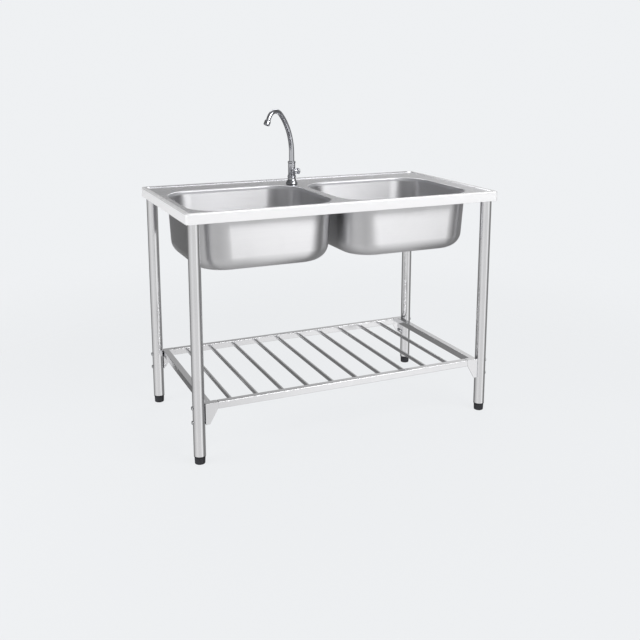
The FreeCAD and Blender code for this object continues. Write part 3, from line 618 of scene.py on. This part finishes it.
def from_solid(name, node, edge):
    """A piece with a node's shape whose sharp edges are rounded."""
    work = bmesh.new()
    work.from_mesh(frame["nodes"][node].data)
    bmesh.ops.remove_doubles(work, verts=work.verts, dist=2 * SAME_POINT)
    bmesh.ops.dissolve_limit(work, angle_limit=math.radians(0.5), verts=work.verts, edges=work.edges)
    bmesh.ops.recalc_face_normals(work, faces=work.faces)
    mesh = bpy.data.meshes.new(name)
    work.to_mesh(mesh)
    work.free()
    piece = placed(name, mesh)
    bend = piece.modifiers.new("bend", "BEVEL")
    bend.width = edge
    bend.segments = 3
    bend.limit_method = "ANGLE"
    bend.angle_limit = math.radians(SHARP)
    bend.use_clamp_overlap = True
    return smooth(applied(piece), SHARP)


def square_rail(name, node, along):
    """Square tube with bent corners along one axis, X or Y, filling a node's box."""
    low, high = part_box(node)
    length = high[along] - low[along]
    middle = (low + high) / 2
    turn = Matrix.Rotation(math.pi / 2, 4, "Y" if along == 0 else "X")
    place = Matrix.Translation(middle) @ turn
    outer, inner = (RAIL / 2, RAIL_BEND), (RAIL / 2 - LEG_WALL, RAIL_BEND / 2)
    rings = []
    for (size, bend), end in ((outer, -1), (outer, 1), (inner, 1), (inner, -1)):
        ring = rounded(-size, size, -size, size, bend, end * length / 2, 5)
        rings.append([tuple(place @ Vector(p)) for p in ring])
    return smooth(made(name, *skin(rings, closed=True)))


def slat_tree():
    """A row of capped tubes along X from a single start point."""
    tree, given, out = new_tree(
        "slat row", "GeometryNodeTree",
        [("Start", "NodeSocketGeometry", None), ("Count", "NodeSocketInt", 10),
         ("Pitch", "NodeSocketFloat", 0.089), ("Radius", "NodeSocketFloat", 0.006),
         ("Length", "NodeSocketFloat", 0.5),
         ("Material", "NodeSocketMaterial", None)],
        [("Slats", "NodeSocketGeometry")])
    step = add(tree, "ShaderNodeCombineXYZ", {"X": given["Pitch"]})
    origin = add(tree, "GeometryNodeInputPosition")
    first = add(tree, "GeometryNodeSampleIndex", {"Geometry": given["Start"], "Value": origin.outputs[0]},
                data_type="FLOAT_VECTOR")
    row = add(tree, "GeometryNodeMeshLine", {"Count": given["Count"], "Start Location": first.outputs[0],
                                             "Offset": step.outputs[0]})
    end = add(tree, "ShaderNodeCombineXYZ", {"Y": given["Length"]})
    line = add(tree, "GeometryNodeCurvePrimitiveLine", {"End": end.outputs[0]})
    ring = add(tree, "GeometryNodeCurvePrimitiveCircle", {"Resolution": 40, "Radius": given["Radius"]})
    tube = add(tree, "GeometryNodeCurveToMesh", {"Curve": line.outputs[0], "Profile Curve": ring.outputs[0],
                                                 "Fill Caps": True})
    tubes = add(tree, "GeometryNodeInstanceOnPoints", {"Points": row.outputs[0], "Instance": tube.outputs[0]})
    real = add(tree, "GeometryNodeRealizeInstances", {"Geometry": tubes.outputs[0]})
    done = add(tree, "GeometryNodeSetMaterial", {"Geometry": real.outputs[0], "Material": given["Material"]})
    tree.links.new(done.outputs[0], out["Slats"])
    return tree


def points_piece(name, points):
    """Bare points for a node tree to build on."""
    mesh = bpy.data.meshes.new(name)
    mesh.from_pydata(points, [], [])
    return placed(name, mesh)


slat_x = sorted(slat_places())
slats = points_piece("slats", [(slat_x[0], slat_low.y, SLAT_Z)])
grown(slats, slat_tree(), Count=len(slat_x), Pitch=slat_x[1] - slat_x[0], Radius=SLAT_R,
      Length=slat_high.y - slat_low.y, Material=TUBE_STEEL)
finish(smooth(slats), "sink_frame", "tube_steel", TUBE_STEEL, *SLATS)
for side, along in (("front", 0), ("back", 0), ("left", 1), ("right", 1)):
    rail = square_rail(side + "_rail", "shelf_" + side + "_rail", along)
    finish(rail, "sink_frame", "tube_steel", TUBE_STEEL, "shelf_" + side + "_rail")
for corner in CORNERS:
    bracket = from_solid(corner + "_bracket", corner + "_shelf_bracket", SHEET_BEND)
    finish(bracket, "sink_frame", "tube_steel", TUBE_STEEL, corner + "_shelf_bracket")


# BOLTS
# Eight dome-headed socket bolts go through the legs into nuts behind the brackets. The head is turned
# once with its hexagon recess, and a node tree repeats it at each place.

ZINC = steel("zinc plate", (0.66, 0.67, 0.68), 0.28, 900, 4, "X", 0.00002, 0.6, 0.14)
BOLT_HEAD_R = 0.0065
BOLT_HEAD = 0.0045
BOLT_R = 0.003
KEY_R = 0.0023
KEY_DEPTH = 0.0024
BOLT_CROWN = 0.0030
BOLT_PAST_NUT = 0.006
bolt_low, bolt_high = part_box("shelf_bolts")


def bolt():
    """One bolt along its local Z, its head's crown at 0 and its shank below."""
    length = bolt_high.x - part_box("shelf_nuts")[1].x + BOLT_PAST_NUT
    crown = [(BOLT_HEAD_R * math.cos(a), -BOLT_CROWN + BOLT_CROWN * math.sin(a)) for a in
             (math.radians(10 * i) for i in range(0, 7))]
    outline = [(0, -length), (BOLT_R, -length), (BOLT_R, -BOLT_HEAD), (BOLT_HEAD_R, -BOLT_HEAD)] + crown
    outline += [(KEY_R, -0.0002), (KEY_R, -KEY_DEPTH), (0, -KEY_DEPTH)]

    def key(angle, r):
        if r > KEY_R * 1.01:
            return r
        return r / math.cos((angle + math.pi / 6) % (math.pi / 3) - math.pi / 6)
    return made("bolt", *lathe(outline, Matrix.Identity(4), 48, key))


def bolt_tree():
    """The part at every point, turned to face away from the middle."""
    tree, given, out = new_tree(
        "bolts", "GeometryNodeTree",
        [("Places", "NodeSocketGeometry", None), ("Part", "NodeSocketObject", None),
         ("Material", "NodeSocketMaterial", None)],
        [("Bolts", "NodeSocketGeometry")])
    part = add(tree, "GeometryNodeObjectInfo", {"Object": given["Part"]})
    spot = add(tree, "GeometryNodeInputPosition")
    away = add(tree, "ShaderNodeSeparateXYZ", {"Vector": spot.outputs[0]})
    right = add(tree, "ShaderNodeMath", {0: away.outputs["X"]}, operation="SIGN")
    lean = add(tree, "ShaderNodeMath", {0: right.outputs[0], 1: math.pi / 2}, operation="MULTIPLY")
    turn = add(tree, "ShaderNodeCombineXYZ", {"Y": lean.outputs[0]})
    row = add(tree, "GeometryNodeInstanceOnPoints", {
        "Points": given["Places"], "Instance": part.outputs["Geometry"], "Rotation": turn.outputs[0]})
    real = add(tree, "GeometryNodeRealizeInstances", {"Geometry": row.outputs[0]})
    done = add(tree, "GeometryNodeSetMaterial", {"Geometry": real.outputs[0], "Material": given["Material"]})
    tree.links.new(done.outputs[0], out["Bolts"])
    return tree


places = []
for x in (bolt_low.x, bolt_high.x):
    for y in (bolt_low.y + BOLT_HEAD_R, bolt_high.y - BOLT_HEAD_R):
        for z in (bolt_low.z + BOLT_HEAD_R, bolt_high.z - BOLT_HEAD_R):
            places.append((x, y, z))
one_bolt = bolt()
bolts = grown(points_piece("bolts", places), bolt_tree(), Part=one_bolt, Material=ZINC)
bpy.data.objects.remove(one_bolt)
finish(smooth(bolts, 30), "sink_frame", "zinc_steel", ZINC, "shelf_bolts")


# DRAINS
# Each bowl has a polished strainer clamped through its floor, with a basket that lifts out by its knob;
# the outlet below has a pipe thread.

STRAINER_STEEL = steel("polished strainer", (0.80, 0.80, 0.81), 0.14, 1600, 3, "X", 0.00001, 0.5, 0.08)
STRAINER_EDGE = 0.0003
OUTLET_R = 0.0239
OUTLET_PITCH = 0.00231
OUTLET_THREAD = 0.011
THREAD_START = 0.0015
RIDGE_SHARE = 0.56


def thread_tree():
    """A helical ridge of triangular section, rising from the start point."""
    tree, given, out = new_tree(
        "thread", "GeometryNodeTree",
        [("Start", "NodeSocketGeometry", None), ("Radius", "NodeSocketFloat", 0.01),
         ("Pitch", "NodeSocketFloat", 0.0018), ("Length", "NodeSocketFloat", 0.02),
         ("Material", "NodeSocketMaterial", None)],
        [("Thread", "NodeSocketGeometry")])
    turns = add(tree, "ShaderNodeMath", {0: given["Length"], 1: given["Pitch"]}, operation="DIVIDE")
    ridge_r = add(tree, "ShaderNodeMath", {0: given["Pitch"], 1: RIDGE_SHARE}, operation="MULTIPLY")
    core = add(tree, "ShaderNodeMath", {0: given["Radius"], 1: ridge_r.outputs[0]}, operation="SUBTRACT")
    helix = add(tree, "GeometryNodeCurveSpiral", {
        "Resolution": 48, "Rotations": turns.outputs[0], "Start Radius": core.outputs[0],
        "End Radius": core.outputs[0], "Height": given["Length"]})
    section = add(tree, "GeometryNodeCurvePrimitiveCircle", {"Resolution": 4, "Radius": ridge_r.outputs[0]})
    ridge = add(tree, "GeometryNodeCurveToMesh", {
        "Curve": helix.outputs[0], "Profile Curve": section.outputs[0], "Fill Caps": True})
    spots = add(tree, "GeometryNodeInstanceOnPoints", {"Points": given["Start"],
                                                       "Instance": ridge.outputs[0]})
    real = add(tree, "GeometryNodeRealizeInstances", {"Geometry": spots.outputs[0]})
    done = add(tree, "GeometryNodeSetMaterial", {"Geometry": real.outputs[0], "Material": given["Material"]})
    tree.links.new(done.outputs[0], out["Thread"])
    return tree


def thread(name, start, radius, pitch, length, slot, material):
    """A thread that rises from its start point."""
    piece = grown(points_piece(name, [start]), THREAD, Radius=radius, Pitch=pitch, Length=length,
                  Material=material)
    finish(smooth(piece, 30), "sink_frame", slot, material)


THREAD = thread_tree()
for side in OPENINGS:
    x, y = drain_centre(side)
    cup = from_solid(side + "_strainer", side + "_strainer_body", STRAINER_EDGE)
    finish(cup, "sink_frame", "strainer_steel", STRAINER_STEEL, side + "_strainer_body")
    basket = from_solid(side + "_basket_piece", side + "_strainer_basket", STRAINER_EDGE)
    finish(basket, side + "_basket", "strainer_steel", STRAINER_STEEL, side + "_strainer_basket")
    outlet_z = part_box(side + "_strainer_body")[0].z
    thread(side + "_outlet_thread", (x, y, outlet_z + THREAD_START), OUTLET_R + 0.0003, OUTLET_PITCH,
           OUTLET_THREAD, "strainer_steel", STRAINER_STEEL)


# THE TAP
# A single-hole pillar tap in mirror chrome: bell-shaped base, slim body with a fluted knob on the right,
# union nut, swan-neck spout that thins towards its nozzle.

CHROME = steel("chrome", (0.62, 0.63, 0.66), 0.08, 500, 2, "Z", 0.000003, 0.5, 0.03)
BRASS = steel("brass", (0.72, 0.53, 0.26), 0.24, 900, 3, "X", 0.00002, 0.5, 0.1)
base_low, base_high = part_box("tap_base")
body_low, body_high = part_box("tap_body")
nut_low, nut_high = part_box("spout_nut")
knob_low, knob_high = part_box("tap_handle")
TAP = Vector(((base_low.x + base_high.x) / 2, (base_low.y + base_high.y) / 2, 0))
SEAT_Z = base_low.z
LEVER_Z = (knob_low.z + knob_high.z) / 2
REST_ANGLE = math.radians(207)
BODY_R = 0.013
NECK_R = 0.0074
TAIL_R = 0.01048
TAIL_PITCH = 0.00181
TAIL_THREAD = 0.038
TAIL_BORE_R = 0.005
PASS_R = 0.012
BELL_BORE_R = 0.0123
BOSS_R = 0.0105
BOSS_BORE_R = 0.007
BOSS_START = 0.0095
BOSS_END = 0.018
SPINDLE_R = 0.0035
NOZZLE_R = 0.0112
NOZZLE_LENGTH = 0.019
SPOUT_R = 0.0097
SPOUT_END_R = 0.0080
SPOUT_WALL = 0.0012
LONG_BOW = 0.205
TIGHT_BOW = 0.037
# length and radius of each run of the spout's centre line; radius 0 is straight
SPOUT_RUNS = ((0.036, 0), (LONG_BOW * math.radians(44.6), LONG_BOW),
              (TIGHT_BOW * math.radians(105.4), TIGHT_BOW), (0.012, 0))
SPOUT_LENGTH = sum(length for length, bow in SPOUT_RUNS)
# radius and height of the bell, and of the knob from its foot
BELL = ((0.0215, 0), (0.0220, 0.0015), (0.0208, 0.0045), (0.0184, 0.009), (0.0160, 0.013), (0.0148, 0.017),
        (0.0146, 0.023), (0.0156, 0.024), (0.0156, 0.027), (0.0146, 0.028), (0.0146, 0.0315))
KNOB_R = 0.0128
KNOB_HEIGHT = 0.0130
KNOB = ((0, 0), (0.0085, 0), (0.0105, 0.0015), (0.0123, 0.004), (KNOB_R, 0.007), (0.0116, 0.010),
        (0.0086, 0.0122), (0.0050, 0.0128), (0, KNOB_HEIGHT))
KNOB_FLUTES = 6
KNOB_FLUTE_DEPTH = 0.0010


def flowing(points, steps=4):
    """A smooth curve through the points."""
    ends = [points[0], *points, points[-1]]
    curve = []
    for a, b, c, d in zip(ends, ends[1:], ends[2:], ends[3:]):
        for i in range(steps):
            t = i / steps
            curve.append(tuple(0.5 * (2 * q + (r - p) * t + (2 * p - 5 * q + 4 * r - s) * t ** 2
                                      + (3 * q - p - 3 * r + s) * t ** 3) for p, q, r, s in zip(a, b, c, d)))
    return curve + [points[-1]]


def tap_bell():
    """Base plate that widens to its seat."""
    outline = [(BELL_BORE_R, SEAT_Z)] + [(r, SEAT_Z + h) for r, h in flowing(BELL)]
    outline.append((BELL_BORE_R, base_high.z))
    return made("tap_bell", *lathe(outline, Matrix.Translation(TAP), 80))


def tap_pillar():
    """Tail, body and neck in one, with the boss for the valve on its right."""
    bell_top, top = base_high.z, nut_low.z
    outline = [(TAIL_BORE_R, body_low.z), (TAIL_R - 0.001, body_low.z), (TAIL_R - 0.0006, body_low.z + 0.001),
               (TAIL_R - 0.0006, SEAT_Z), (PASS_R, SEAT_Z), (PASS_R, bell_top), (BODY_R - 0.0004, bell_top),
               (BODY_R, bell_top + 0.0004), (BODY_R, top - 0.0012), (BODY_R - 0.0004, top - 0.0004),
               (BODY_R - 0.0012, top), (NECK_R, top), (NECK_R, body_high.z), (TAIL_BORE_R, body_high.z)]
    points, faces = lathe(outline, Matrix.Translation(TAP), 80)
    boss = [(BOSS_BORE_R, BOSS_START), (BOSS_R, BOSS_START), (BOSS_R, BOSS_END - 0.0008),
            (BOSS_R - 0.0003, BOSS_END - 0.0002), (BOSS_R - 0.0010, BOSS_END), (BOSS_BORE_R, BOSS_END)]
    side = Matrix.Translation(TAP + Vector((0, 0, LEVER_Z))) @ Matrix.Rotation(math.pi / 2, 4, "Y")
    more, joined = lathe(boss, side, 56)
    faces += [tuple(len(points) + k for k in face) for face in joined]
    return made("tap_pillar", points + more, faces)


def tap_knob():
    """Bulb with soft flutes; its spindle goes into the valve."""
    def flute(angle, r):
        return r - KNOB_FLUTE_DEPTH * r / KNOB_R * max(0, math.cos(KNOB_FLUTES * angle)) ** 2
    start = knob_high.x - KNOB_HEIGHT
    spindle = start - knob_low.x
    outline = [(0, -spindle), (SPINDLE_R, -spindle), (SPINDLE_R, 0)] + flowing(KNOB)[4:]
    side = Matrix.Translation(Vector((start, TAP.y, LEVER_Z))) @ Matrix.Rotation(math.pi / 2, 4, "Y")
    return made("tap_knob", *lathe(outline, side, 96, flute))


def union_nut():
    """Smooth nut that holds the spout on the neck."""
    z0, z1, r = nut_low.z, nut_high.z, (nut_high.x - nut_low.x) / 2
    bore = SPOUT_R + 0.0003
    outline = [(bore, z0), (r - 0.0012, z0), (r - 0.0003, z0 + 0.0008), (r, z0 + 0.0016), (r, z1 - 0.0027),
               (r - 0.0003, z1 - 0.0020), (r - 0.0018, z1 - 0.0003), (r - 0.0026, z1), (bore, z1)]
    return made("union_nut", *lathe(outline, Matrix.Translation(TAP), 80))


def spout_frame(s):
    """Placement on the spout's centre line at the length s from its foot, local Z along it."""
    reach, z, tilt = 0.0, nut_low.z + 0.0003, 0.0
    for length, bow in SPOUT_RUNS:
        step = min(s, length)
        s -= step
        if bow:
            turn = step / bow
            reach += bow * (math.cos(tilt) - math.cos(tilt + turn))
            z += bow * (math.sin(tilt + turn) - math.sin(tilt))
            tilt += turn
        else:
            reach += step * math.sin(tilt)
            z += step * math.cos(tilt)
    place = TAP + Vector((reach * math.cos(REST_ANGLE), reach * math.sin(REST_ANGLE), z))
    return Matrix.Translation(place) @ Matrix.Rotation(REST_ANGLE, 4, "Z") @ Matrix.Rotation(tilt, 4, "Y")


def swan_neck():
    """Bent tube that thins along its length."""
    stations, around_count = 70, 48
    outer, inner = [], []
    for i in range(stations + 1):
        s = SPOUT_LENGTH * i / stations
        r = SPOUT_R + (SPOUT_END_R - SPOUT_R) * s / SPOUT_LENGTH
        place = spout_frame(s)
        for rings, ring_r in ((outer, r), (inner, r - SPOUT_WALL)):
            rings.append([tuple(place @ Vector((ring_r * math.cos(math.tau * k / around_count),
                                                ring_r * math.sin(math.tau * k / around_count), 0)))
                          for k in range(around_count)])
    return made("swan_neck", *skin(outer + inner[::-1], closed=True))


def nozzle():
    """Aerator sleeve with its mesh set back inside."""
    length, rim = NOZZLE_LENGTH, NOZZLE_R
    lip, mesh = rim - 0.0022, length - 0.003
    outline = [(SPOUT_END_R - SPOUT_WALL, 0), (SPOUT_END_R + 0.0004, 0), (SPOUT_END_R + 0.0012, 0.0010),
               (rim - 0.0008, 0.0045), (rim, 0.006), (rim, length - 0.0012), (rim - 0.0004, length - 0.0004),
               (rim - 0.0012, length), (lip, length), (lip, mesh), (0, mesh), (0, mesh - 0.002),
               (lip, mesh - 0.002), (lip, 0.008)]
    return made("nozzle", *lathe(outline, spout_frame(SPOUT_LENGTH), 64))


for piece, body, node in (
        (tap_bell(), "sink_frame", "tap_base"), (tap_pillar(), "sink_frame", "tap_body"),
        (tap_knob(), "handle", "tap_handle"), (union_nut(), "sink_frame", "spout_nut"),
        (swan_neck(), "spout", "tap_spout"), (nozzle(), "spout", "tap_aerator")):
    finish(smooth(piece, SHARP), body, "chrome", CHROME, node)
thread("tail_thread", (TAP.x, TAP.y, body_low.z + 0.0012), TAIL_R + 0.0002, TAIL_PITCH, TAIL_THREAD,
       "chrome", CHROME)


# PIECES THAT STAY AS THE SOLIDS ARE
# Seals, nuts, sockets and screws already have their real shape and only take their finish.

KEPT = {"rubber": RUBBER, "brass": BRASS, "zinc_steel": ZINC, "black_plastic": BLACK_PLASTIC,
        "tube_steel": TUBE_STEEL, "strainer_steel": STRAINER_STEEL, "chrome": CHROME,
        "bowl_steel": BOWL_STEEL}
for part in frame["record"]["subparts"]:
    solid = frame["nodes"][part["node"]]
    solid.data.materials.clear()
    solid.data.materials.append(KEPT[part["material_slot"]])


# THE STUDIO
# A plain pale floor that fades into a plain pale surround, soft light from behind, the front and the
# left, and a camera at the photograph's angle, tipped down a little to keep other views in frame.

CAMERA_PLACE = (-1.1810, -2.6842, 1.2407)
CAMERA_YAW = 0.4181
CAMERA_PITCH = 0.1905
CAMERA_LENS = 47.74
CAMERA_SHIFT = -0.15
PALE = (0.862, 0.877, 0.894)
FLOOR_EVENNESS = 0.90
FLOOR_HALF = 3.2
FLOOR_FADE = (1.0, 2.6)
HORIZON = (0.125, 0.165)
ZENITH = (0.60, 0.95)
# compass angle in degrees from +X, counter-clockwise, and brightness, below and above the horizon
LOW_SURROUND = ((-180, 0.66), (-168, 0.74), (-154, 0.79), (-134, 0.76), (-118, 0.70), (-101, 0.72),
                (-90, 0.76), (-84, 0.68), (-76, 0.70), (-70, 0.86), (-64, 0.98), (-56, 0.95), (-44, 0.70),
                (-32, 0.44), (-24, 0.18), (-14, 0.16), (-4, 0.28), (30, 0.24), (58, 0.28), (88, 0.20),
                (113, 0.14), (145, 0.42), (165, 0.58), (180, 0.66))
HIGH_SURROUND = ((-180, 0.12), (-120, 0.14), (-95, 0.45), (-40, 0.45), (-20, 0.14), (10, 0.20), (50, 0.80),
                 (67, 0.45), (88, 0.26), (113, 0.12), (180, 0.12))
OVERHEAD = (0.30, 0.30, 0.31, 1)


def compass_ramp(tree, turn, stops):
    """A colour ramp round the compass."""
    ramp = add(tree, "ShaderNodeValToRGB", {"Fac": turn})
    elements = ramp.color_ramp.elements
    while len(elements) < len(stops):
        elements.new(0.5)
    for element, (angle, level) in zip(elements, stops):
        element.position = (angle + 180) / 360
        element.color = (level, level, level, 1)
    return ramp.outputs["Color"]


def studio_surround():
    """Even pale surround for the eye; the metal mirrors darker and lighter stretches round the compass."""
    world = bpy.data.worlds.new("studio")
    scene.world = world
    world.use_nodes = True
    tree = world.node_tree
    background = tree.nodes["Background"]
    place = add(tree, "ShaderNodeTexCoord").outputs["Generated"]
    parts = add(tree, "ShaderNodeSeparateXYZ", {"Vector": place})
    compass = add(tree, "ShaderNodeMath", {0: parts.outputs["Y"], 1: parts.outputs["X"]},
                  operation="ARCTAN2")
    turn = add(tree, "ShaderNodeMapRange", {"Value": compass.outputs[0], "From Min": -math.pi,
                                            "From Max": math.pi})
    low = compass_ramp(tree, turn.outputs[0], LOW_SURROUND)
    high = compass_ramp(tree, turn.outputs[0], HIGH_SURROUND)
    rise = add(tree, "ShaderNodeMapRange", {"Value": parts.outputs["Z"], "From Min": HORIZON[0],
                                            "From Max": HORIZON[1]}, interpolation_type="SMOOTHSTEP")
    around = add(tree, "ShaderNodeMix", {"Factor": rise.outputs[0], 6: low, 7: high}, data_type="RGBA")
    up = add(tree, "ShaderNodeMapRange", {"Value": parts.outputs["Z"], "From Min": ZENITH[0],
                                          "From Max": ZENITH[1]}, interpolation_type="SMOOTHSTEP")
    lit = add(tree, "ShaderNodeMix", {"Factor": up.outputs[0], 6: around.outputs[2], 7: OVERHEAD},
              data_type="RGBA")
    seen = add(tree, "ShaderNodeLightPath").outputs["Is Camera Ray"]
    shown = add(tree, "ShaderNodeMix", {"Factor": seen, 6: lit.outputs[2], 7: (*PALE, 1)}, data_type="RGBA")
    tree.links.new(shown.outputs[2], background.inputs["Color"])


def studio_floor():
    """Pale square whose rim fades out.

    The eye sees it even, nearly shadowless and only from above, and the metal doesn't mirror it.
    """
    half = FLOOR_HALF
    mesh = bpy.data.meshes.new("floor")
    mesh.from_pydata([(-half, -half, 0), (half, -half, 0), (half, half, 0), (-half, half, 0)], [],
                     [(0, 1, 2, 3)])
    floor = placed("floor", mesh)
    material = bpy.data.materials.new("pale floor")
    material.use_nodes = True
    tree = material.node_tree
    bsdf = tree.nodes["Principled BSDF"]
    bsdf.inputs["Roughness"].default_value = 0.9
    rays = add(tree, "ShaderNodeLightPath").outputs
    bsdf.inputs["Base Color"].default_value = (0.85, 0.86, 0.87, 1)
    even = add(tree, "ShaderNodeEmission", {"Color": (*PALE, 1)})
    share = add(tree, "ShaderNodeMath", {0: rays["Is Camera Ray"], 1: FLOOR_EVENNESS}, operation="MULTIPLY")
    lit = add(tree, "ShaderNodeMixShader", {0: share.outputs[0], 1: bsdf.outputs[0], 2: even.outputs[0]})
    place = add(tree, "ShaderNodeTexCoord").outputs["Object"]
    away = add(tree, "ShaderNodeVectorMath", {0: place}, operation="LENGTH")
    fade = add(tree, "ShaderNodeMapRange", {"Value": away.outputs["Value"], "From Min": FLOOR_FADE[0],
                                            "From Max": FLOOR_FADE[1]}, interpolation_type="SMOOTHSTEP")
    below = add(tree, "ShaderNodeNewGeometry").outputs["Backfacing"]
    open_below = add(tree, "ShaderNodeMath", {0: fade.outputs[0], 1: below}, operation="MAXIMUM")
    clear = add(tree, "ShaderNodeMath", {0: open_below.outputs[0], 1: rays["Is Glossy Ray"]},
                operation="MAXIMUM")
    through = add(tree, "ShaderNodeBsdfTransparent")
    mixed = add(tree, "ShaderNodeMixShader", {0: clear.outputs[0], 1: lit.outputs[0], 2: through.outputs[0]})
    tree.links.new(mixed.outputs[0], tree.nodes["Material Output"].inputs["Surface"])
    mesh.materials.append(material)


def soft_light(name, place, aim, size, power):
    """A rectangular lamp, out of the camera's sight."""
    data = bpy.data.lights.new(name, "AREA")
    data.shape = "RECTANGLE"
    data.size, data.size_y = size
    data.energy = power
    lamp = bpy.data.objects.new(name, data)
    scene.collection.objects.link(lamp)
    lamp.location = place
    lamp.rotation_euler = (Vector(aim) - Vector(place)).to_track_quat("-Z", "Y").to_euler()
    lamp.visible_camera = False
    return lamp


studio_surround()
studio_floor()
soft_light("behind", (0.7, 1.9, 3.0), (0, 0, 0.6), (2.6, 1.2), 18)
soft_light("front", (1.2, -2.4, 2.6), (0, 0, 0.7), (2.2, 1.3), 56)
side_light = soft_light("left", (-3.0, -0.4, 1.3), (-0.55, 0, 0.78), (2.2, 1.2), 60)
side_light.visible_glossy = False

camera = bpy.data.objects.new("camera", bpy.data.cameras.new("camera"))
scene.collection.objects.link(camera)
camera.location = CAMERA_PLACE
camera.rotation_euler = (math.pi / 2 - CAMERA_PITCH, 0, -CAMERA_YAW)
camera.data.sensor_width = 36
camera.data.lens = CAMERA_LENS
camera.data.shift_y = CAMERA_SHIFT
scene.camera = camera
scene.view_settings.view_transform = "Standard"
